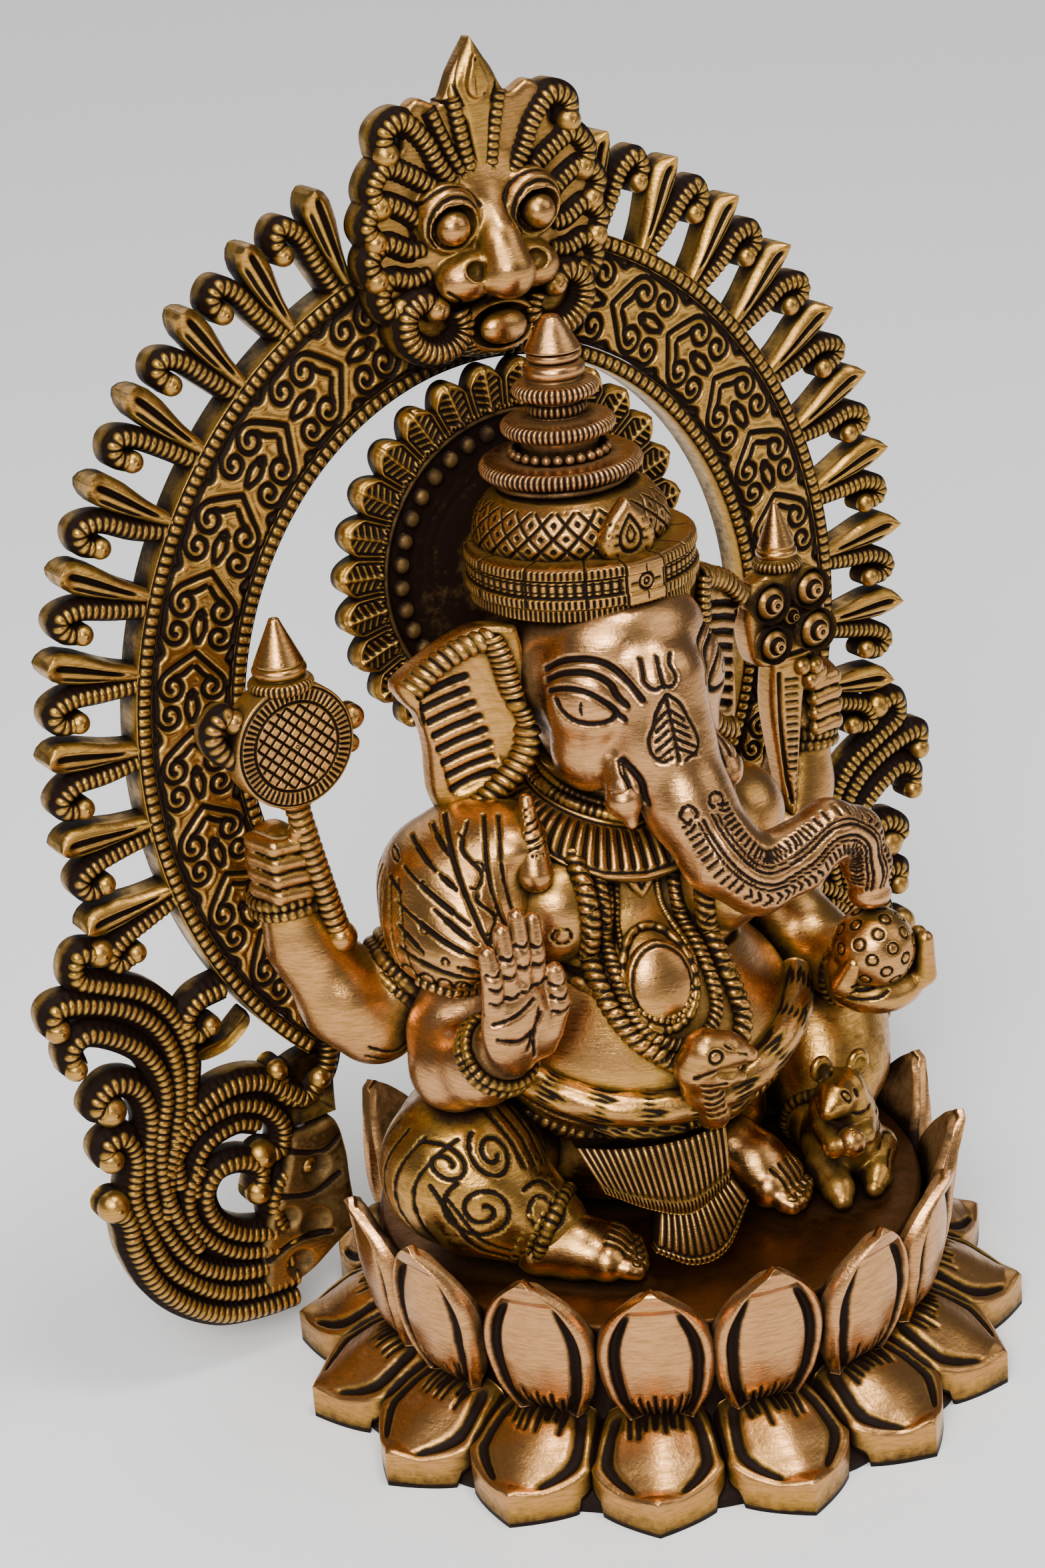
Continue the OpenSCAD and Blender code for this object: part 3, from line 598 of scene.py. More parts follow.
def arch_band():
    shape = Shape()
    inset = RIM_W / 2 + 0.1
    outer_a, outer_b = ARCH_A - inset, ARCH_B - inset
    inner_a, inner_b = INNER_A + inset, INNER_B + inset
    deg, length = even_angles((outer_a + inner_a) / 2, (outer_b + inner_b) / 2, BAND_END, 0.45)
    repeat = length / round(length / REPEAT)
    across = np.linspace(0, 1, 52)
    width = outer_a - inner_a
    outer, inner = ellipse(outer_a, outer_b, deg), ellipse(inner_a, inner_b, deg)
    xz = inner[:, None] * (1 - across[None, :, None]) + outer[:, None] * across[None, :, None]
    u = np.abs(np.linspace(0, length, len(deg)) - length / 2)
    uu, vv = np.broadcast_arrays(u[:, None], ((across - 0.5) * width)[None, :])
    points = np.stack([np.mod(uu, repeat) * REPEAT / repeat, vv], -1).reshape(-1, 2)
    lines = heart_scrolls()
    lines += [line + shift for shift in (np.array([-REPEAT, 0]), np.array([REPEAT, 0])) for line in lines]
    d = nearest(points, lines).reshape(uu.shape)
    cut = bump(d, 0.95)
    edge = ease(np.abs(vv), width / 2 - 1.2, width / 2 - 0.4)
    grooves = np.maximum(cut, edge * 0.9)
    y = ARCH_FRONT + 0.1 + 1.0 * cut - 0.35 * bump(d - 1.4, 0.9) + 0.6 * edge
    face = np.stack([xz[..., 0], y, xz[..., 1]], -1)
    back = in_plane(xz[:, ::-1][:, ::4], ARCH_BACK)
    rings = np.concatenate([face, back], 1)
    g = np.concatenate([grooves, np.full(back.shape[:2], 0.45)], 1)
    shape.loft(rings[:, ::-1], g[:, ::-1])
    for side in (-1, 1):
        hook = [(64, 92), (61.5, 83), (64, 74), (70, 70), (76, 73), (77, 80)]
        relief_rope(shape, sided(hook, side), 3.0, ARCH_FRONT + 0.5, ARCH_BACK - 0.2, flange=1.6, ball=3.0)
        shape.loft(block(sided([(61, 62.3), (78, 62.3), (79, 70), (74, 80), (62, 80)], side),
            ARCH_FRONT + 3, ARCH_BACK - 0.5), 0.25)
    shape.piece("arch_band", "arch_brass", name="arch_band_engraved")


def block(outline, y0, y1):
    """Rings of a flat plate with rounded edges, from a short outline of (x, z) points."""
    p = np.asarray(outline, float)
    loop = smooth_path(np.vstack([p, p[:1]]), 1.0)[0][:-1]
    if len(loop) % 2:
        loop = loop[:-1]
    x, z = loop[:, 0], loop[:, 1]
    if np.sum(x * np.roll(z, -1) - np.roll(x, -1) * z) < 0:
        loop = loop[::-1]
    mid = loop.mean(0)
    small = mid + (loop - mid) * 0.93
    return np.stack([in_plane(small, y0), in_plane(loop, y0 + 0.9), in_plane(loop, y1 - 0.5),
        in_plane(small, y1)])


def beading(name, a, b, end):
    shape = Shape()
    deg, length = even_angles(a, b, end, 0.36)
    p = ellipse(a, b, deg)
    tangent = unit(np.gradient(p, axis=0))
    across = np.stack([-tangent[:, 1], tangent[:, 0]], 1)
    at = np.linspace(0, length, len(deg))
    pitch = length / round(length / 2.5)
    rib = np.abs(np.sin(pi * at / pitch)) ** 0.5
    arc = np.linspace(0, pi, 12)
    bar_w = 1.7
    n = np.cos(arc)[None, :] * bar_w * (0.86 + 0.14 * rib[:, None])
    y = ARCH_FRONT + 1.2 - np.sin(arc)[None, :] ** 0.7 * (0.35 + 1.25 * rib[:, None])
    one = np.ones((len(deg), 1))
    half = RIM_W / 2
    n = np.concatenate([half * one, half * one, (half - 0.25) * one, n, -(half - 0.25) * one, -half * one,
        -half * one], 1)
    y = np.concatenate([ARCH_BACK * one, (ARCH_FRONT + 0.9) * one, (ARCH_FRONT + 0.6) * one, y,
        (ARCH_FRONT + 0.6) * one, (ARCH_FRONT + 0.9) * one, ARCH_BACK * one], 1)
    xz = p[:, None] + across[:, None] * n[..., None]
    dark = 1 - rib[:, None] * np.sin(arc)[None, :] ** 0.4
    g = np.concatenate([0.35 * one, 0.2 * one, 0.2 * one, dark, 0.2 * one, 0.2 * one, 0.35 * one], 1)
    shape.loft(np.stack([xz[..., 0], y, xz[..., 1]], -1)[:, ::-1], g[:, ::-1])
    shape.piece("arch_" + name, "arch_brass", name=name)


def arch_frame(deg, side):
    """Origin on the outer beading, unit vector down along it and unit vector outward."""
    a, b = ARCH_A + RIM_W / 2 - 0.4, ARCH_B + RIM_W / 2 - 0.4
    origin = ellipse(a, b, deg)
    along = ellipse(a, b, deg + 0.5) - ellipse(a, b, deg - 0.5)
    along = unit(along)
    out = np.array([-along[1], along[0]])
    flip = np.array([side, 1])
    return origin * flip, along * flip, out * flip


def on_arch(frame_at, points):
    origin, along, out = frame_at
    points = np.asarray(points, float)
    return origin + points[..., :1] * along + points[..., 1:] * out


def flames():
    leaves, curls = Shape(), Shape()
    top = ARCH_FRONT + 0.4
    for side in (-1, 1):
        for i in range(LEAVES):
            at = arch_frame(FIRST_LEAF + 1.5 + i * LEAF_STEP, side)
            wobble = rng.normal(0, 0.25, (6, 2))
            stem = np.array([(2.6, -0.5), (4.2, 8.5), (5.2, 16.2), (8.2, 20.6), (11.2, 18.8),
                (10.8, 14.2)]) + wobble
            relief_rope(curls, on_arch(at, stem), 2.1, top, ARCH_BACK - 0.8, pitch=1.75, depth=0.28,
                flange=0.55, ball=2.7)
            height = 24.6 + rng.uniform(-0.8, 0.2)
            bend = rng.uniform(-2.6, -1.6)

            def half_width(t):
                return np.interp(t, [0, 0.3, 0.6, 0.8, 0.9, 0.97, 1], [1.8, 2.5, 3.7, 3.9, 3.1, 1.7, 0.2])

            def place(w, t, y):
                v = -0.5 + (height + 0.5) * t
                u = w - 0.4 + bend * np.sin(t * pi / 2) ** 2
                u, v, y = np.broadcast_arrays(u, v, y)
                xz = on_arch(at, np.stack([u, v], -1))
                return np.stack([xz[..., 0], y, xz[..., 1]], -1)

            def front(w, t, s):
                flute = bump(s + 0.05, 0.3) * within(t, 0.12, 0.25, 0.84, 0.92)
                second = bump(s - 0.62, 0.16) * within(t, 0.3, 0.4, 0.75, 0.85)
                y = top + 0.3 + 2.2 * np.abs(s) ** 2.5 + 1.6 * flute + 0.7 * second - 1.0 * ease(t, 0.8, 1.0)
                return place(w, t, y), np.maximum(flute, second)

            def back(w, t, s):
                return place(w, t, ARCH_BACK - 1.0)

            slab(leaves, half_width, front, back, 34, 26, 3, 0.3)
    leaves.piece("flame_leaves", "arch_brass")
    curls.piece("flame_curls", "arch_brass")


SCROLL_ROPES = [
    # (x, z) points from the foot outward on the +X side, radius, knob radius
    ([(79, 14), (90, 14.5), (101, 17), (111, 24), (118, 33), (122, 44), (123, 53), (126, 58)], 2.7, 4.4),
    ([(78, 19.5), (90, 20), (99, 22.5), (107, 28), (114, 36), (118, 47), (120.5, 59), (118.5, 69),
      (121, 76), (126, 75), (125, 71)], 2.5, 3.4),
    ([(79, 25), (89, 25.5), (98, 28), (106, 33.5), (112, 43), (116, 55), (115.5, 67), (113, 79),
      (115.5, 88), (122, 91), (127, 87), (123, 84)], 2.5, 4.2),
    ([(105, 38), (110, 49), (112.5, 61), (111.5, 73), (108.5, 84), (110.5, 94), (116.5, 101.5), (126, 107),
      (131.5, 104.5), (131, 99)], 2.2, 3.0),
    ([(108, 57), (108, 69), (105, 82), (105, 94), (109, 104), (117, 111), (128, 115.5), (134.3, 115.5),
      (134, 110.5)], 2.4, 3.2),
    ([(104, 70), (102, 82), (100.5, 93), (103.5, 104), (110, 112.5), (120, 118), (127, 122), (126, 128),
      (120, 127)], 2.2, 3.8),
    ([(111, 62), (107, 71), (100, 77), (91, 80), (82, 78.5), (75, 73.5), (70, 70), (65.5, 74)], 2.5, 3.2),
    ([(113, 50), (110, 62), (105, 69.5), (98, 73.5), (90, 74.5), (82.5, 71.5), (77.5, 65), (78.5, 58),
      (84, 57.5)], 2.3, 4.4),
    ([(104, 53), (103, 61), (98, 67), (90, 69), (84, 67)], 1.9, 0),
    ([(83, 34.5), (93, 38), (99.5, 44), (101.5, 52), (97.5, 58), (90.5, 58.5), (85, 54.5), (86.5, 48)], 2.2,
     3.6),
    ([(83, 30), (93, 32.5), (101, 38.5), (106, 47), (105.5, 56), (101, 61)], 2.2, 0),
    ([(78, 30), (82, 38), (82, 45), (78, 50), (72, 51)], 2.4, 2.8),
    ([(89, 108), (96.5, 106.5), (100.5, 102), (98.5, 97.5), (94, 99)], 2.3, 2.8),
]


def side_scrolls():
    for side, word in SIDES:
        shape = Shape()
        for k, (points, radius, ball) in enumerate(SCROLL_ROPES):
            path = sided(points, side)
            relief_rope(shape, path, radius, ARCH_FRONT - 0.2 + 0.35 * (k % 3), ARCH_BACK - 0.8 - 0.13 * k,
                pitch=1.9, depth=0.26, flange=1.3, ball=ball)
        leaf = [(84, 100), (90, 95.5), (99, 93.5), (98.5, 90.5), (90, 91.5), (83.5, 96.5)]
        shape.loft(block(sided(leaf, side), ARCH_FRONT + 0.8, ARCH_BACK - 2.6), 0.25)
        shape.piece("side_scroll_" + word, "arch_brass")


# ---- clay: rounded bodies modelled as a distance field, then meshed and engraved ----

RAY_STEP = 0.4                                # how far a ray moves at a time when it looks for a body
RAY_REACH = 120                               # how far it goes before it counts as a miss


def each(do, *rows):
    """Calls do once for each row of arguments."""
    for row in rows:
        do(*row)


class Clay:
    """A body built up from balls, limbs and plates that melt into each other."""

    def __init__(self, lo, hi, voxel=0.6, view=None):
        self.lo, self.voxel = np.array(lo, float), voxel
        self.view = self.lo[1] + 1 if view is None else view      # y that front() looks from
        self.strokes = []                                         # (points, width, depth) of each cut
        counts = np.ceil((np.array(hi) - self.lo) / voxel).astype(int) + 1
        self.axes = [self.lo[i] + voxel * np.arange(counts[i]) for i in range(3)]
        self.d = np.full(counts, 9.0, np.float32)

    def near(self, lo, hi, margin):
        """The part of the grid between lo and hi: its slices and its x, y and z."""
        margin += 4 * self.voxel
        cut = []
        for i in range(3):
            a = int((lo[i] - margin - self.lo[i]) / self.voxel)
            b = int((hi[i] + margin - self.lo[i]) / self.voxel) + 2
            n = len(self.axes[i])
            cut.append(slice(min(max(a, 0), n - 1), min(max(b, 1), n)))
        return tuple(cut), np.ix_(*[axis[c] for axis, c in zip(self.axes, cut)])

    def merge(self, cut, d, k, carve=False):
        a = self.d[cut]
        if carve:
            h = np.clip(0.5 - 0.5 * (a + d) / k, 0, 1)
            self.d[cut] = a + (-d - a) * h + k * h * (1 - h)
        else:
            h = np.clip(0.5 + 0.5 * (a - d) / k, 0, 1)
            self.d[cut] = a + (d - a) * h - k * h * (1 - h)

    def limb(self, points, radii, k=1.5, carve=False):
        points = np.asarray(points, float)
        radii = np.broadcast_to(radii, (len(points),)).astype(float)
        for a, b, ra, rb in zip(points, points[1:], radii, radii[1:]):
            r = max(ra, rb)
            cut, (x, y, z) = self.near(np.minimum(a, b), np.maximum(a, b), r + k)
            d = b - a
            t = ((x - a[0]) * d[0] + (y - a[1]) * d[1] + (z - a[2]) * d[2]) / max(d @ d, 1e-9)
            t = np.clip(t, 0, 1)
            gap = (x - a[0] - t * d[0]) ** 2 + (y - a[1] - t * d[1]) ** 2 + (z - a[2] - t * d[2]) ** 2
            self.merge(cut, np.sqrt(gap) - (ra + (rb - ra) * t), k, carve)

    def ball(self, centre, radii, k=1.5, carve=False, turn=(0, 0, 0)):
        c = np.array(centre, float)
        r = np.broadcast_to(radii, (3,)).astype(float)
        m = np.array(Euler([radians(v) for v in turn]).to_matrix()).T
        cut, (x, y, z) = self.near(c - r.max(), c + r.max(), k)
        p = [m[i, 0] * (x - c[0]) + m[i, 1] * (y - c[1]) + m[i, 2] * (z - c[2]) for i in range(3)]
        k0 = np.sqrt(sum((p[i] / r[i]) ** 2 for i in range(3)))
        k1 = np.sqrt(sum((p[i] / r[i] ** 2) ** 2 for i in range(3)))
        self.merge(cut, k0 * (k0 - 1) / np.maximum(k1, 1e-6), k, carve)

    def plate(self, outline, y, thick, k=0.8, carve=False, round_=1.2):
        """An upright plate in the XZ plane at y, cut to a smooth outline of (x, z) points."""
        p = smooth_path(np.vstack([outline, outline[:1]]), 1.0)[0][:-1]
        lo, hi = p.min(0), p.max(0)
        cut, (gx, gy, gz) = self.near((lo[0], y - thick, lo[1]), (hi[0], y + thick, hi[1]), k)
        x, z = np.meshgrid(gx.ravel(), gz.ravel(), indexing="ij")
        q = np.stack([x.ravel(), z.ravel()], 1)
        edge = nearest(q, [np.vstack([p, p[:1]])]).reshape(x.shape)
        inside = np.zeros(x.shape, bool)
        for a, b in zip(p, np.roll(p, -1, 0)):
            if a[1] == b[1]:
                continue
            hit = (a[1] > z) != (b[1] > z)
            inside ^= hit & (x < (b[0] - a[0]) * (z - a[1]) / (b[1] - a[1]) + a[0])
        flat = np.where(inside, -edge, edge)[:, None, :]
        depth = np.abs(gy - y) - thick / 2
        a, b = np.broadcast_arrays(flat + round_, depth + round_)
        d = np.minimum(np.maximum(a, b), 0) + np.sqrt(np.maximum(a, 0) ** 2 + np.maximum(b, 0) ** 2) - round_
        self.merge(cut, d, k, carve)

    def trim(self, axis, at, keep_above=True):
        """Cuts the body flat."""
        shape = [1, 1, 1]
        shape[axis] = -1
        d = (self.axes[axis] - at).reshape(shape) * (-1 if keep_above else 1)
        self.d = np.maximum(self.d, d).astype(np.float32)

    def sample(self, p):
        q = (np.asarray(p, float) - self.lo) / self.voxel
        top = np.array(self.d.shape) - 1.001
        q = np.clip(q, 0, top)
        i = q.astype(int)
        f = q - i
        out = 0.0
        for dx in (0, 1):
            for dy in (0, 1):
                for dz in (0, 1):
                    w = (f[:, 0] if dx else 1 - f[:, 0]) * (f[:, 1] if dy else 1 - f[:, 1])
                    w = w * (f[:, 2] if dz else 1 - f[:, 2])
                    out = out + w * self.d[i[:, 0] + dx, i[:, 1] + dy, i[:, 2] + dz]
        return out

    def normal(self, p):
        e = self.voxel
        return unit(np.stack([self.sample(p + e * v) - self.sample(p - e * v) for v in np.eye(3)], 1))

    def snap(self, points):
        """Points near the surface, moved on to it."""
        p = np.array(points, float).reshape(-1, 3)
        for _ in range(12):
            p = p - np.clip(self.sample(p), -2, 2)[:, None] * self.normal(p)
        return p

    def drape(self, points, direction, lift=0.0):
        """Where rays from the given points first meet the surface; rays that miss it are left out."""
        p = np.array(points, float).reshape(-1, 3)
        d = unit(direction)
        going = np.ones(len(p), bool)
        for _ in range(int(RAY_REACH / RAY_STEP)):
            going &= self.sample(p) > lift
            if not going.any():
                break
            p[going] += RAY_STEP * d
        return p if going.all() else p[~going]

    def front(self, points, lift=0.0):
        """(x, z) points dropped on to the body's front."""
        path = through(points, 0.9)
        return self.drape(in_plane(path, self.view), (0, 1, 0), lift)

    def cut(self, points, width, depth):
        """Keeps a stroke along (x, z) points of the front as the body is now."""
        self.strokes.append((self.front(points), width, depth))

    def trace(self, points, width, depth):
        """Keeps a stroke along 3-D points near the surface as it is now."""
        self.strokes.append((self.snap(points), width, depth))

    def add_to(self, shape):
        """Meshes the body and cuts its strokes into it."""
        grid = openvdb.FloatGrid()
        grid.background = 3.0
        grid.copyFromArray(np.clip(self.d / self.voxel, -3, 3).astype(np.float32))
        points, quads = grid.convertToQuads(isovalue=0.0)
        co = self.lo + np.asarray(points, float) * self.voxel
        n = self.normal(co)
        sink, groove = np.zeros(len(co)), np.zeros(len(co))
        for line, width, depth in self.strokes:
            near = np.all((co > line.min(0) - width) & (co < line.max(0) + width), 1)
            where = np.nonzero(near)[0]
            if not len(where):
                continue
            best = np.full(len(where), 1e9)
            for a, b in zip(line, line[1:]):
                d = b - a
                t = np.clip(((co[where] - a) @ d) / max(d @ d, 1e-9), 0, 1)
                best = np.minimum(best, np.linalg.norm(co[where] - a - t[:, None] * d, axis=1))
            cut = bump(best, width)
            sink[where] = np.maximum(sink[where], depth * cut)
            groove[where] = np.maximum(groove[where], cut)
        shape.add(co - n * sink[:, None], quads, groove)

    def piece(self, *words, **values):
        """The body alone as a piece."""
        shape = Shape()
        self.add_to(shape)
        shape.piece(*words, **values)


def sided(points, s):
    """(x, z) points of the +X side, moved to the side s."""
    return [(s * x, z) for x, z in points]


def sided_clay(s, inner, outer, voxel):
    """A body on the side s of the middle plane, between the corners inner and outer of the +X side."""
    x = sorted((s * inner[0], s * outer[0]))
    return Clay((x[0], *inner[1:]), (x[1], *outer[1:]), voxel)


# ---- the lugs that carry the arch ----

def lugs():
    """Rough cast brackets: a plate under the arch's foot, and a block that is screwed to the drum."""
    thick = ARCH_BACK - ARCH_FRONT
    for side, word in SIDES:
        low, high = node_box("arch_lug_" + word)
        body = Clay(np.array(low) - 2, np.array(high) + 2, 0.55, view=low[1] - 4)
        outline = [(59, 29), (66, 25), (74, 20), (82, 17.6), (88.6, 18), (88, 26), (88, 33), (82, 45),
            (77.4, 58), (77, 61.4), (70, 61.6), (63, 61.4), (60.4, 52), (60, 42)]
        body.plate(sided(outline, side), ARCH_FRONT + thick / 2, thick - 0.6, round_=2.6)
        out = np.array([side * sin(LUG_ANGLE), -cos(LUG_ANGLE), 0])
        body.limb([out * 71 + np.array([0, 0, z]) for z in (28, 35)], 4.6, 3)
        for x, z, r in ((78, 24, 3.4), (72, 34, 3.8), (80, 38, 3.0), (70, 50, 3.6)):
            body.ball((side * x, ARCH_FRONT + 0.2, z), (r, 2.2, r), 1.5, carve=True)
        for line in ([(62, 57), (68, 54), (77, 57)], [(64, 46), (72, 43), (81, 45)],
                [(68, 30), (78, 31), (87, 28)]):
            body.cut(sided(line, side), 1.1, 1.2)
        body.piece("arch_lug_" + word, "dark_brass", extra_dark=0.15)


# ---- round work laid on the bodies ----

def frames(path):
    """Tangents and two cross directions that don't twist along a 3-D path."""
    t = unit(np.gradient(path, axis=0))
    start = np.array([0, 0, 1.0]) if abs(t[0][2]) < 0.9 else np.array([0, 1.0, 0])
    u = np.zeros_like(path)
    u[0] = start - (start @ t[0]) * t[0]
    u[0] /= np.linalg.norm(u[0])
    for i in range(1, len(path)):
        v = u[i - 1] - (u[i - 1] @ t[i]) * t[i]
        u[i] = v / max(np.linalg.norm(v), 1e-9)
    return t, u, np.cross(t, u)


def cord(shape, points, radius, pitch=1.9, depth=0.3, sides=14, ends=(1, 1), skin=None, twist=0.0,
        resample=True):
    """A round rope along a 3-D path, ribbed every pitch; skin(at, angle) may add relief of its own."""
    step = max(pitch / 6 if pitch else radius / 2, 0.28)
    if resample:
        path, at = smooth_path(points, step)
    else:
        path = np.asarray(points, float)
        at = np.concatenate([[0], np.cumsum(np.linalg.norm(np.diff(path, axis=0), axis=1))])
    t, u, v = frames(path)
    a = np.linspace(0, TAU, sides, endpoint=False)[None, :]
    taper = np.interp(at / at[-1], [0, 0.12, 0.88, 1], [ends[0], 1, 1, ends[1]])[:, None]
    if pitch:
        rib = np.abs(np.sin(pi * at[:, None] / pitch + twist * a)) ** 0.6
    else:
        rib = np.ones((len(at), sides))
    r = radius * taper * (1 - depth * (1 - rib))
    g = 1 - rib
    if skin is not None:
        add, dark = skin(at[:, None], a)
        r = r + add
        g = np.maximum(g, dark)
    r = np.broadcast_to(r, (len(at), sides))
    rings = path[:, None] + r[..., None] * (np.cos(a)[..., None] * u[:, None] + np.sin(a)[..., None]
        * v[:, None])
    shape.loft(rings, np.broadcast_to(g, (len(at), sides)))


def bead(shape, centre, r, squash=(1, 1, 1), groove=0.0, sides=16, rows=10):
    lat = np.linspace(0.12, pi - 0.12, rows)[:, None]
    a = np.linspace(0, TAU, sides, endpoint=False)[None, :]
    c = np.array(centre, float)
    rings = np.stack([c[0] + r * squash[0] * np.sin(lat) * np.cos(a),
        c[1] + r * squash[1] * np.sin(lat) * np.sin(a),
        np.broadcast_to(c[2] - r * squash[2] * np.cos(lat), (rows, sides))], -1)
    shape.loft(rings, groove)


def beads(shape, points, r, gap):
    for p in smooth_path(points, gap)[0]:
        bead(shape, p, r, sides=12, rows=8)


def circle_points(centre, r, u, v, n=25):
    """A circle's points round centre, in the plane of u and v."""
    a = np.linspace(0, TAU, n)[:, None]
    return np.asarray(centre) + r * (np.cos(a) * np.asarray(u) + np.sin(a) * np.asarray(v))


def oval(x, z, rx, rz, angles):
    """(x, z) points round an oval."""
    return [(x + rx * cos(a), z + rz * sin(a)) for a in angles]


def mirrored(points):
    return np.asarray(points, float) * np.array([-1, 1, 1])


# ---- halo ----

(_, HALO_FRONT, HALO_LOW), (_, HALO_BACK, HALO_TOP) = node_box("halo_petals")
HALO_Z = (HALO_LOW + HALO_TOP) / 2
HALO_R = (HALO_TOP - HALO_LOW) / 2
HALO_PETALS = 28
LEAF_ROOT = 38.6                              # radius where the petals start


def disc_piece(shape, r0, r1, steps, surface):
    """A ring or disc facing the front: surface(r, angle, t) gives r, y and a groove."""
    t = np.linspace(0, 1, 40)[:, None]
    a = np.linspace(0, TAU, steps, endpoint=False)[None, :]
    r, y, g, _ = np.broadcast_arrays(*surface(r0 + (r1 - r0) * t, a, t), t + a)
    rim = r[-1:]
    r = np.concatenate([r, rim, rim * 0.4 + r0 * 0.6, r[:1]], 0)
    y = np.concatenate([y, np.full((3, steps), HALO_BACK)], 0)
    g = np.concatenate([g, np.full((3, steps), 0.5)], 0)
    rings = np.stack([r * np.sin(a), y, HALO_Z + r * np.cos(a)], -1)
    rings = np.concatenate([rings, rings[:1]], 0)
    shape.loft(rings, np.concatenate([g, g[:1]], 0), caps=False)


def halo():
    petals, disc = Shape(), Shape()

    def leaf(r, a, t):
        s = np.mod(a * HALO_PETALS / TAU, 1) * 2 - 1
        reach = HALO_R - 5.0 * np.abs(s) ** 2.2
        r = LEAF_ROOT + (reach - LEAF_ROOT) * t
        spine = bump(s, 0.16)
        barbs = np.abs(np.sin(pi * (r - 2.2 * np.abs(s)) / 1.9)) ** 1.2
        inside = (1 - ease(np.abs(s), 0.68, 0.8)) * (1 - ease(t, 0.78, 0.86)) * (1 - spine)
        edge = ease(np.abs(s), 0.86, 1.0)
        outline = bump(np.abs(s) - 0.74, 0.1) * (1 - ease(t, 0.8, 0.9))
        groove = most(inside * (1 - barbs), edge, outline)
        ring = within(t, 0, 0.04, 0.12, 0.16)
        cord_ribs = np.abs(np.sin(a * 110)) ** 0.6
        y = HALO_FRONT + 1.0 + 0.9 * groove - 0.8 * spine - 0.8 * ring * cord_ribs + 1.2 * ease(t, 0.9, 1.0)
        groove = np.maximum(groove * (1 - ring), ring * (1 - cord_ribs))
        return r, y, groove

    disc_piece(petals, LEAF_ROOT, HALO_R, HALO_PETALS * 36, leaf)

    def plain(r, a, t):
        ripple = 0.35 * np.abs(np.sin(r * 1.1)) * ease(r, 20, 24)
        return r, HALO_FRONT + 2.4 - 1.4 * ease(r, 36.6, 37.4) + ripple, 0.55 * within(r, 8, 20, 37, 38)

    disc_piece(disc, 2, 38.4, 240, plain)
    for k in range(36):
        a = TAU * k / 36
        bead(disc, (33.6 * sin(a), HALO_FRONT + 1.9, HALO_Z + 33.6 * cos(a)), 2.3, groove=0.25)
    petals.piece("halo_petals", "arch_brass", extra_dark=0.12)
    disc.piece("halo_disc", "dark_brass")


# ---- mask at the top of the arch ----

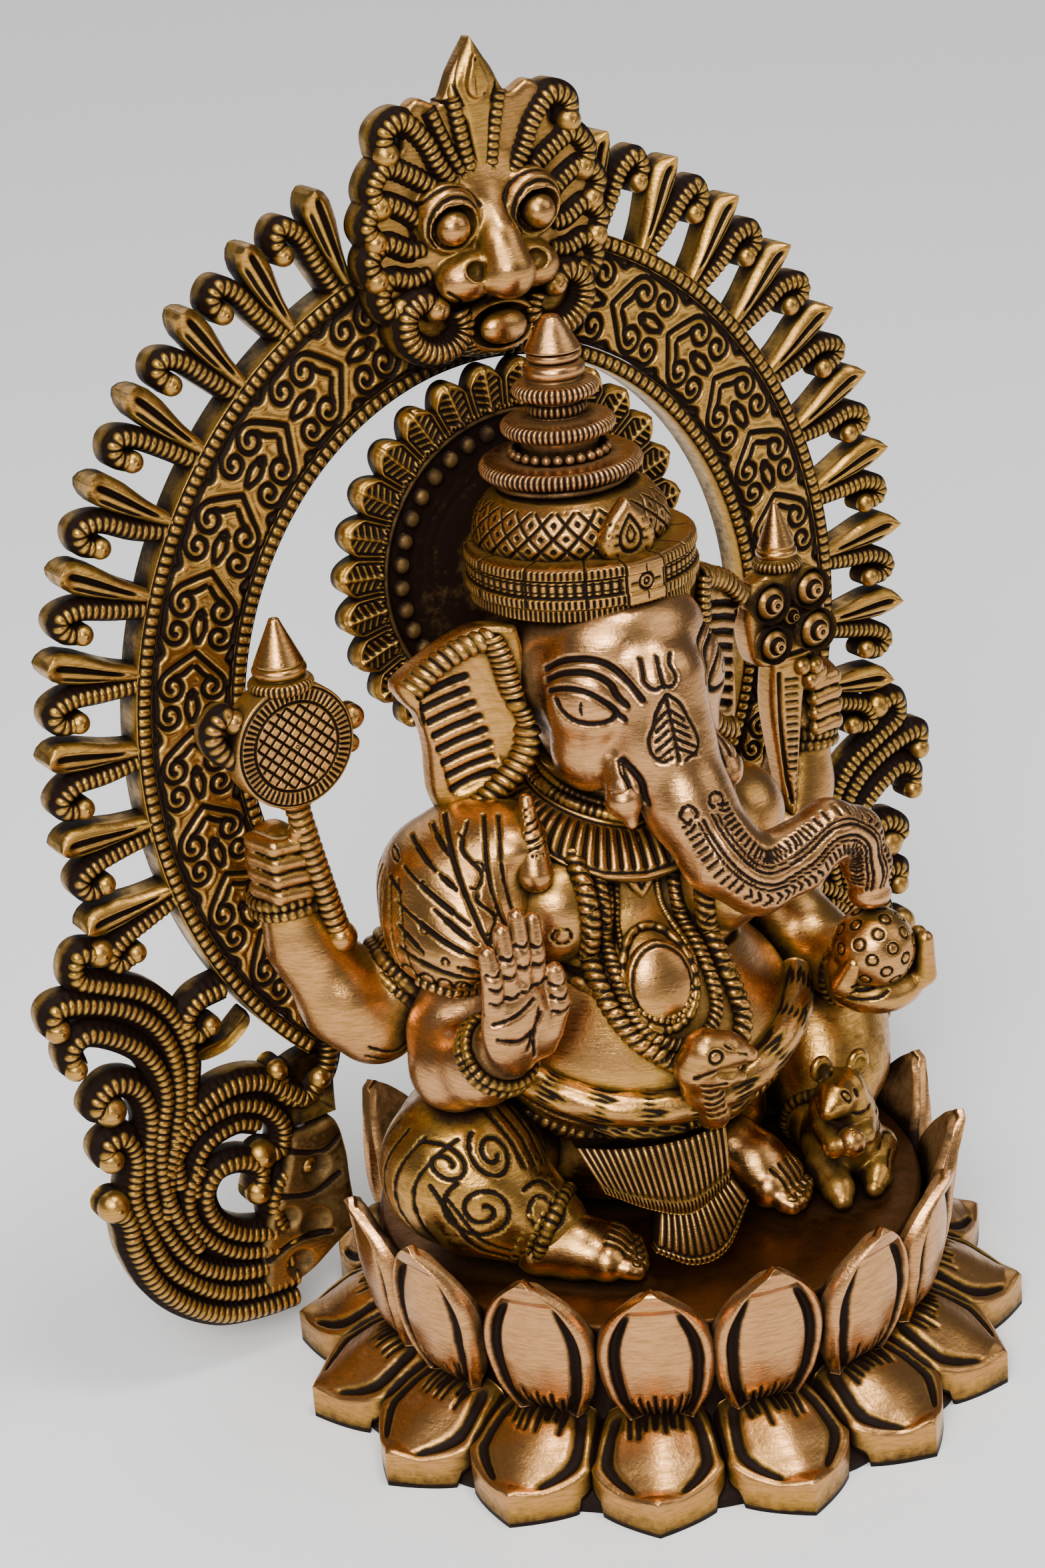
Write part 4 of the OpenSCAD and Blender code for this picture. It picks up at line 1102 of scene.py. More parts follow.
def mask():
    back = node_box("mask_crest")[1][1]
    body = Clay((-40, 26, 252), (40, back + 1, 334), 0.55, view=20)
    outline = [(0, 331), (5, 324), (9, 317), (15, 319), (20, 314), (20, 308), (26, 305), (29, 298),
        (31, 292), (30, 284), (31, 277), (27, 270), (20, 262), (12, 257), (0, 254)]
    full = outline + [(-x, z) for x, z in outline[-2:0:-1]]
    body.plate([(x * 1.05, z) for x, z in full], back - 3.2, 5.5, round_=1.8)
    # brow, cheeks, snout and chin
    body.ball((0, 45, 284), (20, 6, 20), 2)
    for s in (-1, 1):
        body.ball((s * 11.5, 41.5, 290.5), (8.2, 6.5, 8.6), 1.2, turn=(0, s * 18, 0))
        body.ball((s * 11.8, 37.2, 288.6), (6.2, 4.6, 5.8), 0.6, carve=True)
        body.ball((s * 12, 38.4, 288.6), (4.3, 4.3, 4.3), 0.4)
        body.ball((s * 8.6, 39.6, 276.3), (8.4, 6.6, 6.0), 1.2, turn=(0, s * 12, 0))
        body.ball((s * 8.3, 34.8, 278), (3.0, 2.4, 2.4), 1.0, carve=True)
    body.limb([(0, 43.5, 293), (0, 37.5, 284), (0, 34, 277)], [4.0, 5.0, 6.2], 1.6)
    each(body.ball, ((0, 34, 275.6), (6.8, 5.0, 5.6), 1.2), ((0, 43, 262.6), (12.6, 6.4, 7.6), 1.2))
    body.ball((0, 38.5, 262.6), (9.2, 4.5, 5.4), 0.8, carve=True)
    body.ball((0, 38.6, 262.4), (6.4, 3.6, 4.2), 0.5)
    for s in (-1, 1):
        for rx, rz in ((8.8, 9.0), (6.9, 6.8)):
            body.cut(oval(s * 11.7, 289.4, rx, rz, np.linspace(0.35, pi * 1.25, 16)), 0.8, 0.9)
        body.cut([(s * 3.2, 270.6), (s * 9, 269.2), (s * 15.6, 273.6)], 0.8, 0.9)
    for k in range(-8, 9):
        a = radians(k * 11.5)
        p = [(r * sin(a) * 1.25, 262.4 - r * cos(a) * 0.95) for r in (7.4, 9.4, 11.4)]
        body.cut(p, 0.62, 1.1)
    shape = Shape()
    body.add_to(shape)
    for s in (-1, 1):
        bead(shape, (s * 12.4, 35.4, 288.4), 1.2, groove=0.9)
        whisker = [(s * 11, 268.5), (s * 9.5, 263.5), (s * 13, 259.5), (s * 19, 259), (s * 24.5, 263),
            (s * 25, 269), (s * 20.5, 272), (s * 16.8, 269.5)]
        relief_rope(shape, whisker, 2.7, 38.2, back, pitch=1.7, flange=1.0, ball=3.4)
    shape.piece("mask_face")

    crest = Shape()
    ropes = [
        ([(7, 296), (12, 303), (15, 309), (20.5, 314.5), (25.5, 312.5), (25.5, 307.5)], 2.4, 3.3),
        ([(14, 298), (20, 302), (26, 304.5), (30, 300), (28.5, 295.5)], 2.3, 3.2),
        ([(18.5, 291), (23, 294.5), (28.5, 296.5), (32.5, 292), (30.5, 287.5)], 2.1, 3.0),
        ([(18, 284), (22.5, 284.5), (28, 287), (32.5, 283.5), (31, 278.5)], 2.1, 3.1),
        ([(17, 278), (22, 277), (27.5, 278.5), (30.5, 274.5), (28.5, 270.5), (25.5, 271)], 2.1, 2.8),
    ]
    for s in (-1, 1):
        for k, (points, radius, ball) in enumerate(ropes):
            relief_rope(crest, sided(points, s), radius, 40.6, back - 0.13 * k, pitch=1.75, flange=1.1,
                ball=ball)
    for top, low, r in (((-6.5, 318), (-1.2, 293), 2.1), ((6.5, 318), (1.4, 293), 2.1),
            ((-13, 316), (-3.2, 295), 1.6)):
        relief_rope(crest, [low, ((low[0] + top[0]) / 2 - 0.5, (low[1] + top[1]) / 2), top], r, 41.2, back,
            pitch=1.9, flange=0.7, ends=(0.5, 1))
    plate = Clay((-14, 36, 290), (14, back + 1, 334), 0.5, view=30)
    plate.plate([(0, 331.5), (4.6, 324), (7.5, 317), (2.4, 311), (-2.4, 311), (-7.5, 317), (-4.6, 324)],
        45.5, 6.5, round_=2.2)
    plate.plate([(0, 317), (3.4, 316), (0.6, 296), (-0.6, 296), (-3.4, 316)], 43.6, 3.6, round_=1.2)
    plate.plate([(-0.6, 328), (2.6, 321), (1.0, 317.4), (-2.0, 317.4), (-3.2, 321)], 41.2, 2.2, round_=0.9)
    for x0, x1 in ((-0.8, -1.4), (0.2, 1.0)):
        plate.cut([(x0, 326.5), (x1, 318)], 0.5, 0.9)
    for s in (-1, 1):
        plate.cut([(s * 1.4, 329.5), (s * 5.6, 321.5), (s * 4.0, 315.6)], 0.6, 0.9)
    plate.add_to(crest)
    crest.piece("mask_crest", "arch_brass")


# ---- crown ----

(_, TIERS_FRONT, CROWN_Z), (_, TIERS_BACK, _) = node_box("crown_tiers")
CROWN_Y = (TIERS_FRONT + TIERS_BACK) / 2
CROWN_LOW = node_box("crown_band")[0][2]


def ribs(count, lo, hi, depth=0.9, power=0.7):
    """Upright ribs round a turned shape between two heights."""
    def ripple(a, r, z):
        inside = within(z, lo - 0.15, lo + 0.15, hi - 0.15, hi + 0.15)
        cut = (1 - np.abs(np.sin(a * count / 2)) ** power) * inside
        return -depth * cut, cut
    return ripple


def fine_profile(points, step=0.45):
    p = np.asarray(points, float)
    out = []
    for a, b in zip(p, p[1:]):
        n = max(1, int(np.linalg.norm(b - a) / step))
        out += [a + (b - a) * i / n for i in range(n)]
    return np.array(out + [p[-1]])


def rounded(r, z, height, bulge):
    """The half-round edge of a disc of radius r, from z up."""
    a = np.linspace(-pi / 2, pi / 2, 9)
    return [(r - bulge + bulge * cos(v), z + height / 2 + height / 2 * sin(v)) for v in a]


def crown():
    z0 = CROWN_Z
    tiers = Shape()
    brim = [(2, z0)] + rounded(16.5, z0, 2.4, 1.4) + [(14.5, z0 + 2.6)]
    brim += rounded(20, z0 + 2.8, 4.0, 2.2) + [(9, z0 + 7.2)]
    ring_profile(tiers, fine_profile(brim), CROWN_Y, 480, ripple=ribs(84, z0 + 2.9, z0 + 6.6, 1.2))
    beads(tiers, circle_points((0, CROWN_Y, z0 + 8.2), 11.4, (1, 0, 0), (0, 1, 0), 60), 1.35, 2.75)
    waist = [(2, z0 + 6), (9.6, z0 + 7), (9.2, z0 + 9), (10.2, z0 + 12)]
    waist += rounded(14, z0 + 12.6, 3.6, 1.7) + [(8, z0 + 16.6)]
    waist += rounded(7.5, z0 + 17, 3.2, 1.2) + [(7.4, z0 + 21)]
    waist += rounded(10.6, z0 + 21.4, 3.6, 1.7) + [(6.4, z0 + 25.4)]
    waist += rounded(7.6, z0 + 26.2, 3.4, 1.4) + [(5.4, z0 + 30), (2, z0 + 30)]

    rows = (60, z0 + 12.7, z0 + 16.1), (44, z0 + 21.5, z0 + 25), (30, z0 + 17.1, z0 + 20.1, 0.6)

    def both(a, r, z):
        cuts = [ribs(*row)(a, r, z) for row in rows]
        return sum(add for add, _ in cuts), most(*(dark for _, dark in cuts))

    ring_profile(tiers, fine_profile(waist), CROWN_Y, 360, ripple=both)
    tiers.piece("crown_tiers", "polished_brass")

    finial = Shape()
    top = node_box("crown_finial")[1][2]
    base = z0 + 30.1
    profile = [(2, base)] + rounded(6.4, base, 2.2, 1.0) + [(6.9, base + 2.6), (5.4, base + 5.4)]
    profile += [(3.6, base + 8.4), (1.9, base + 10.6), (0.7, top - 0.2), (0.2, top)]
    ring_profile(finial, fine_profile(profile, 0.5), CROWN_Y, 96)
    finial.piece("crown_finial", "polished_brass")

    dome = Shape()
    d0 = CROWN_LOW + 12.5
    y = CROWN_Y - 2.5
    outline = [(2, d0), (23.6, d0), (24.2, d0 + 3), (23.2, d0 + 7), (20.6, d0 + 10.4), (17.4, d0 + 12.4),
        (2, d0 + 12.9)]

    def lattice(a, r, z):
        u, v = a * 23.5 / 3.1, (z - d0) / 2.9
        one, two = np.abs(np.sin(pi * (u * 0.5 + v * 0.5))), np.abs(np.sin(pi * (u * 0.5 - v * 0.5)))
        band = within(z, d0 + 0.2, d0 + 0.8, d0 + 10.6, d0 + 11.4)
        cut = np.maximum(bump(one, 0.34), bump(two, 0.34)) * band
        pit = bump(np.sqrt((1 - one) ** 2 + (1 - two) ** 2), 0.16) * band
        return -0.9 * cut - 0.5 * pit, np.maximum(cut, pit)

    ring_profile(dome, fine_profile(outline, 0.35), y, 560, ripple=lattice)
    crest = Clay((-16, -16, d0 - 5), (16, 14, d0 + 17), 0.45, view=-14)
    crest.plate([(0, d0 + 14.5), (5.4, d0 + 9), (7.4, d0 + 3.5), (4.6, d0 - 1), (-4.6, d0 - 1),
        (-7.4, d0 + 3.5), (-5.4, d0 + 9)], -9.6, 5, round_=2)
    drop = [(0, d0 + 10.5), (2.8, d0 + 6), (2.4, d0 + 2.6), (0, d0 + 1.4), (-2.4, d0 + 2.6), (-2.8, d0 + 6),
        (0, d0 + 10.5)]
    mid = [(0, d0 + 8), (1.2, d0 + 5.4), (0, d0 + 3.6), (-1.2, d0 + 5.4), (0, d0 + 8)]
    each(crest.cut, (drop, 0.6, 1.0), (mid, 0.45, 0.7))
    for s in (-1, 1):
        for k in range(4):
            crest.cut([(s * (3.4 + 0.2 * k), d0 + 8.5 - 2.4 * k), (s * (5.2 + 0.5 * k), d0 + 9 - 2.4 * k)],
                0.45, 0.8)
    crest.add_to(dome)
    dome.piece("crown_dome")
    crown_band()


def crown_band():
    """The band round the brow: ribbed edges, panels with bars, a rosette at the front and a fringe below."""
    shape = Shape()
    z0, y = CROWN_LOW, 11.0
    half = radians(11)                        # half the width of the front panel

    def ripple(a, r, z):
        turn = np.mod(a + pi, TAU) - pi
        front = 1 - ease(np.abs(turn), half, half + 0.02)
        v = z - z0
        fringe = (1 - np.abs(np.sin(a * 66)) ** 0.8) * (1 - ease(v, 2.4, 2.7))
        edge = np.maximum(within(v, 3.5, 3.8, 5.4, 5.7), within(v, 10.6, 10.9, 12.4, 12.7))
        rib = (1 - np.abs(np.sin(a * 60)) ** 0.7) * edge
        lines = most(bump(v - 3.1, 0.42), bump(v - 6.1, 0.42), bump(v - 10.2, 0.42))
        panel = np.mod(turn * 27 / 9.0 / 1.6, 1)
        post = np.maximum(bump(panel, 0.035), bump(panel - 1, 0.035)) * ease(v, 3.4, 3.6)
        bars = (1 - np.abs(np.sin(a * 40)) ** 0.9) * within(v, 6.4, 6.7, 9.5, 9.8) * 0.9
        mid = np.maximum(bump(v - 7.2, 0.3), bump(v - 9.2, 0.3)) * 0.8
        du, dv = turn * 28, v - 8.1
        rho = np.sqrt(du ** 2 + dv ** 2)
        flower = np.maximum(bump(rho - 1.9, 0.4), bump(rho - 0.7, 0.3))
        petals_ = bump(np.abs(du), 0.28) * within(rho, 2.2, 2.4, 4.0, 4.3)
        petals_ = np.maximum(petals_, bump(np.abs(dv), 0.28) * within(rho, 2.2, 2.4, 4.0, 4.3))
        frame_ = bump(np.abs(turn) - half * 0.96, 0.018) * ease(v, 3.0, 3.2)
        plain = most(rib, lines * ease(v, 2.8, 3.0), post, bars, mid)
        square = most(flower, petals_)
        cut = np.maximum(np.where(front > 0.5, square, plain), frame_)
        cut = np.maximum(cut, fringe)
        return -0.85 * cut + 0.7 * front * ease(v, 2.9, 3.1), cut

    profile = [(20, z0 - 0.4), (26.2, z0 - 0.4), (27.4, z0 + 0.2), (27.2, z0 + 2.8), (28.4, z0 + 3.1),
        (28.6, z0 + 5.6), (27.9, z0 + 6.0), (27.9, z0 + 10.2), (28.4, z0 + 10.6), (28.2, z0 + 12.5),
        (27, z0 + 13.1), (10, z0 + 13.1)]
    ring_profile(shape, fine_profile(profile, 0.32), y, 720, ripple=ripple)
    shape.piece("crown_band")


# ---- head and trunk ----

TRUNK = [(0, -17, 186), (-0.5, -21, 173), (0.5, -28.5, 158), (4, -36, 146), (11, -40, 139.8),
    (21, -42, 142), (31, -42.5, 146.5), (39, -42, 143), (43, -41, 134), (44, -40, 125.6)]
TRUNK_R = [13, 11.8, 10.6, 9.8, 9.2, 8.2, 7.2, 6.4, 5.8, 4.6]


def along_trunk(s, offset, lift=0.0):
    """A point of the trunk's front at share s of its length, offset to the side in millimetres."""
    path = smooth_path(TRUNK, 0.8)[0]
    t = frames(path)[0]
    i = np.clip(np.asarray(s) * (len(path) - 1), 0, len(path) - 1).astype(int)
    r = np.interp(np.asarray(s), np.linspace(0, 1, len(TRUNK_R)), TRUNK_R)
    view = np.array([-0.25, -0.93, 0.28])
    v = unit(view - (t[i] @ view)[:, None] * t[i])
    side = np.cross(t[i], v)
    phi = np.broadcast_to(offset, r.shape) / r
    return path[i] + (r + lift)[:, None] * (np.cos(phi)[:, None] * v + np.sin(phi)[:, None] * side)


def head():
    body = Clay((-34, -56, 116), (54, 34, 212), 0.6)
    each(body.ball, ((0, 8, 187), (25.5, 24, 21), 1), ((0, 4, 171), (17, 19, 17), 5),
        ((0, -7, 195), (20, 15, 13), 4))
    for s in (-1, 1):
        each(body.ball, ((s * 12, -9, 183), (12, 12, 15), 3), ((s * 13, -8, 170), (9.5, 10, 11), 3))
        body.limb([(s * 9.5, -17, 168), (s * 13, -22.5, 164)], [6.6, 5.2], 2.5)
    body.limb(TRUNK, TRUNK_R, 2.6)
    body.ball((44.2, -40.4, 125), (5.4, 5.4, 3.4), 1.2)
    body.ball((44.2, -40.6, 122.6), (2.6, 2.6, 2.4), 0.8, carve=True)
    right = [
        ([(-23.5, -5, 192), (-19, -10.4, 194.2), (-14, -15, 194.6), (-11.2, -18.4, 192.5), (-10, -23, 189.5),
          (-8.8, -26, 186)], 1.25, 1.2),
        ([(-23.6, -6, 189.4), (-19.7, -11, 191), (-15.8, -15, 191), (-12.8, -18, 188.2),
          (-11.4, -23, 184.4)], 1.25, 1.2),
        ([(-23, -8, 187), (-19.5, -12.3, 187.9), (-16.5, -15.2, 187), (-13.3, -18, 183.6),
          (-11.8, -22.4, 181)], 1.1, 1.1),
        ([(-21.6, -10.4, 185.6), (-20.2, -12, 183), (-17.6, -14.3, 181.2), (-14.2, -17, 181),
          (-12.6, -19.3, 182.4)],
         1.05, 1.1),
        ([(-20.8, -11, 185.3), (-20.4, -11.5, 184)], 0.8, 0.8),
        ([(-9.6, -21, 170.4), (-11.2, -24, 168.6), (-11.4, -26.4, 165), (-10.8, -28.4, 161)], 1.1, 1.1),
        ([(-11.8, -20, 168), (-13.4, -23, 165.6), (-13.2, -25.4, 161.4)], 1.0, 1.1),
    ]
    for points, width, depth in right:
        for p in (points, mirrored(points)):
            body.trace(through(p, 0.8), width, depth)
    for s in (-1, 1):
        eye = circle_points((s * 17.6, -14.4, 184.1), 1.15, (0.62, 0.75, 0), (0, 0, 1), 13)
        body.trace(eye, 0.35, 0.35)
    middle = [
        [(-7.2, -23, 195.3), (-7.8, -25, 192.4), (-8.2, -26, 190.2), (-6.6, -27.6, 188.4),
         (-4.6, -28.6, 189)],
        [(-3.8, -25.3, 195.6), (-4.6, -27.6, 191.7), (-4.4, -28.8, 188.6)],
        [(-0.2, -25.9, 195.7), (-1.6, -27.4, 193.6), (-1, -29, 190.6), (-2.6, -29.4, 188.6),
         (-4.2, -28.9, 189)],
        [(-4.4, -29.3, 187), (-4.3, -30.6, 180), (-4.5, -33.3, 171.4)],
        [(-4.4, -29.3, 187), (-7.1, -28.7, 183), (-8, -28.5, 179.8), (-9.2, -28.1, 176.9), (-9, -28.9, 173.4),
         (-7.6, -30.8, 171.5), (-5.6, -32.1, 172.4)],
        [(-4, -29.5, 187), (-1.3, -30.5, 184.3), (0.3, -31.4, 179.7), (1.4, -32.5, 175.5),
         (0.2, -33.6, 172.8),
         (-3, -33.9, 171.6)],
    ]
    for k in range(5):
        z = 183 - 2.2 * k
        middle.append([(-4.9, -29.6 - 0.3 * k, z), (-7.3 - 0.2 * k, -28.6 - 0.2 * k, z - 2.4)])
        middle.append([(-3.8, -30 - 0.4 * k, z), (-1.2 + 0.3 * k, -30.6 - 0.4 * k, z - 2.6)])
    for points in middle:
        body.trace(through(points, 0.8), 0.72, 0.9)
    s = np.linspace(0.34, 0.97, 90)
    for side in (-1, 1):
        each(body.trace, (along_trunk(s, side * 1.2), 0.62, 0.75), (along_trunk(s, side * 2.4), 0.5, 0.6))
        for k in range(40):
            at = 0.33 + 0.0158 * k
            hatch = along_trunk(np.array([at, at + 0.004, at + 0.001]), np.array([3.4, 4.8, 6.2]) * side)
            body.trace(hatch, 0.58, 0.75)
        curl = [along_trunk(np.array([0.315 + 0.018 * cos(v)]),
            np.array([side * (3.6 + 1.9 * sin(v))]))[0] for v in np.linspace(0.4, 5.6, 14)]
        body.trace(curl, 0.65, 0.8)
    for k in range(11):
        at = 0.70 + 0.026 * k
        under = along_trunk(np.full(6, at), np.linspace(8.5, 14, 6))
        body.trace(under, 0.5, 0.5)
    body.piece("head trunk", "polished_brass", name="head_and_trunk_cast")
    both = Shape()
    for s, low in ((-1, 0.0), (1, 4.6)):
        tusk = sided_clay(s, (5, -34, 148), (24, -12, 174), 0.4)
        tusk.limb([(s * 13.2, -19, 168), (s * 14.6, -24, 161.5), (s * 14.2, -26, 156.2 + low)],
            [3.4, 4.4, 1.5 + low / 3], 1.2)
        ring = [(s * (10 + 0.9 * k), 165.6 - 0.25 * abs(k - 5)) for k in range(11)]
        tusk.cut(ring, 0.55, 0.7)
        tusk.add_to(both)
    both.piece("tusks", "polished_brass")


EAR_LEAN = 0.5


def ears():
    """Each ear is modelled flat and then swept back, away from the head."""
    for s, word in SIDES:
        body = sided_clay(s, (16, -6, 148), (56, 16, 206), 0.5)
        outline = [(24, 201), (32, 201.5), (38, 199), (44, 195), (50.5, 189), (49.5, 184.5), (46.5, 180),
            (45, 172), (44.8, 160), (42, 153.5), (37, 154), (31.5, 158), (26, 163.5), (23, 170),
            (22.5, 182), (23, 194)]
        body.plate(sided(outline, s), 7.0, 7.5, round_=2.4)
        channel = [(36, 195), (41, 194), (38, 185), (34, 174), (30, 167), (27.5, 168), (28, 176), (31, 186)]
        body.plate(sided(channel, s), 3.0, 3.0, carve=True, round_=1.2, k=1.2)
        field = [(46.5, 186), (42, 191.5), (36.5, 192), (35.2, 182), (32.5, 175), (31, 168), (34, 162.5),
            (41, 160), (43, 168)]
        body.plate(sided(field, s), 3.1, 1.8, carve=True, round_=0.6)
        for k in range(8):
            z = 187.6 - 3.55 * k
            left = np.interp(z, [160, 170, 178, 186], [40.6, 42.4, 44, 46.3])
            right = np.interp(z, [160, 168, 176, 184], [32.5, 31.5, 33.2, 35.8])
            line = [(s * left, z - 1.7), (s * (0.5 * left + 0.5 * right), z + 0.5), (s * right, z + 1.9)]
            body.cut(line, 1.25, 1.4)
        if s > 0:
            for c in ((31, 194), (28, 180), (27, 172)):
                body.cut(spiral((c[0], c[1]), 2.4, 0.8, 40, 1.3), 0.7, 0.9)
        body.cut(sided([(46.2, 184), (45.6, 172), (45, 160)], s), 0.8, 0.8)
        shape = Shape()
        body.add_to(shape)
        top = smooth_path(sided([(30, 199), (36.8, 196.8), (43, 193), (48.6, 187.6)], s), 0.6)[0]
        top = in_plane(top, 3.2)
        cord(shape, top, 2.9, pitch=2.3, depth=0.3, resample=False)
        low = [(41.5, 154.8), (37, 156.6), (33.4, 159.4), (28.6, 164.4), (25.4, 169.6), (24.6, 176)]
        cord(shape, in_plane(smooth_path(sided(low, s), 0.6)[0], 2.6), 2.9, pitch=2.4, depth=0.34,
            resample=False)
        strap = [(s * 31, 2.4, 199.6), (s * 29.4, 1.6, 194), (s * 28.6, 1.2, 188.4), (s * 27.8, 1, 184.4)]
        cord(shape, strap, 2.5, pitch=1.6, depth=0.28)
        bead(shape, (s * 27.2, 0.8, 182), 2.3, squash=(1, 0.8, 0.8), groove=0.3)
        cord(shape, [(s * 26.6, 0.6, 181), (s * 25.4, 0.4, 176.6)], 2.1, pitch=1.4, depth=0.35, ends=(1, 0.7))
        for co in shape.co:
            co[:, 1] += EAR_LEAN * (np.abs(co[:, 0]) - 27)
        shape.piece("ear_" + word)


# ---- torso and what is worn on it: modelled facing -Y, then turned to the figure's right ----

TORSO_TURN = radians(-17)
AXIS = np.array([0, 6.0, 0])


def twist(points):
    """Points of the torso as modelled, turned about the figure's upright axis."""
    p = np.asarray(points, float) - AXIS
    return turned(p, TORSO_TURN) + AXIS


def finish_twisted(shape, node):
    shape.co = [twist(co) for co in shape.co]
    shape.piece(node)


def torso():
    body = Clay((-48, -48, 42), (48, 52, 162), 0.75, view=-70)
    each(body.ball, ((0, 8, 60), (36, 30, 20), 3), ((0, -1, 92), (41.5, 39, 29), 6),
        ((0, -9, 108), (28, 25.5, 20), 8), ((0, 8, 128), (36, 26, 24), 7))
    for s in (-1, 1):
        body.ball((s * 20.5, -13.5, 131.5), (13.6, 13.5, 14), 2.2, turn=(0, 0, s * 14))
        each(body.ball, ((s * 33, 8, 138), (12.5, 13, 13), 5), ((s * 20, 3, 142), (14, 15, 11.5), 4))
    body.limb([(0, 8, 146), (0, 7, 160)], [18, 17], 4)
    body.trim(2, SEAT_Z + 0.2)
    for s in (-1, 1):
        a = np.linspace(-2.7, 1.0, 34)
        rim = np.stack([s * (20.5 + 13.2 * np.cos(a)), 131.5 + 13.6 * np.sin(a)], 1)
        body.cut(rim, 1.1, 1.2)
        c = body.front([(s * 22.8, 129), (s * 22.8, 129.1)])[0]
        body.trace(circle_points(c, 2.3, (0.94, s * 0.34, 0), (0, 0, 1)), 0.5, 0.6)
    body.cut([(-44, 106), (-34, 115.5), (-24, 118.2), (-12, 115)], 0.9, 0.9)
    body.cut([(-43, 94), (-30, 83), (-15, 79.5), (0, 78.6), (15, 79.5), (30, 83), (43, 94)], 1.2, 1.2)
    shape = Shape()
    body.add_to(shape)
    under = body.front([(-40, 112), (-31, 116), (-23, 117), (-13, 113)], 0.2)
    cord(shape, under, 1.7, pitch=1.9, depth=0.35, resample=False)
    belly_folds(body, shape)
    finish_twisted(shape, "torso")
    return body


def belly_folds(body, shape):
    """The knotted waist cloth below the belly, seen between the legs."""
    for k, z in enumerate((73.5, 69.5)):
        line = body.front([(-34, z + 6), (-20, z + 1), (0, z), (20, z + 1), (34, z + 6)], -0.4)
        cord(shape, line, 2.2, pitch=2.4, depth=0.25, twist=0.5 + k)


def scales(at, angle):
    """Overlapping round scales along a rope."""
    u, v = at / 2.5, angle * 9 / TAU
    row = np.floor(v)
    x = np.mod(u + 0.5 * np.mod(row, 2), 1) - 0.5
    y = np.mod(v, 1) - 0.5
    arc = bump(np.sqrt(x ** 2 + y ** 2) - 0.38, 0.14) * (x < 0.3)
    dot = bump(np.sqrt(x ** 2 + y ** 2), 0.16)
    return -0.55 * arc + 0.3 * dot, arc


def belt(body):
    shape = Shape()
    path = body.front([(-43, 100), (-36, 94.5), (-27, 90), (-15, 86.8), (0, 85.6), (15, 87.2), (27, 91.5),
        (41, 99)], 1.4)
    cord(shape, path, 4.5, pitch=0, sides=36, skin=scales, ends=(0.9, 0.9))
    low = body.front([(-20, 80.5), (-8, 78.6), (4, 78.4), (14, 81), (20, 86)], 1.2)
    cord(shape, low, 3.3, pitch=0, sides=28, skin=scales, ends=(0.5, 0.9))
    snake = Clay((-12, -60, 76), (26, -30, 112), 0.45)
    snake.limb([(8, -40, 82), (5, -42.5, 90), (3.4, -44.5, 97), (5.4, -46, 101.6), (10.4, -46.6, 101.4),
        (15.6, -46.4, 99)], [4.6, 4.9, 5.3, 5.4, 4.2, 2.4], 2)
    snake.limb([(5, -46, 96), (9.5, -47, 94.6), (13.4, -46.6, 93.6)], [3.4, 2.6, 1.6], 1.6)
    snake.limb([(8, -50, 97.4), (16, -50.5, 95.8)], [1.3, 1.8], 0.8, carve=True)
    eye = snake.front([(6.2, 102.6), (6.3, 102.6)])[0]
    snake.trace(circle_points(eye, 1.7, (1, 0, 0), (0, 0, 1)), 0.6, 0.7)
    snake.cut([(1, 97), (5, 98.4), (10, 98.6), (15.4, 97.6)], 0.7, 0.8)
    snake.cut([(9, 104.6), (12, 102.2), (14.6, 100.6)], 0.5, 0.6)
    for k in range(6):
        snake.cut([(3 + 0.4 * k, 94.6 - 2.1 * k), (6, 93.8 - 2.1 * k), (9 + 0.2 * k, 94 - 2.1 * k)], 0.6, 0.8)
    snake.add_to(shape)
    throat = body.front([(13.5, 93.4), (14.6, 89), (12.6, 84), (7.6, 80.6), (1, 79.6)], 1.6)
    cord(shape, throat, 2.7, pitch=1.9, depth=0.4)
    finish_twisted(shape, "snake_belt")


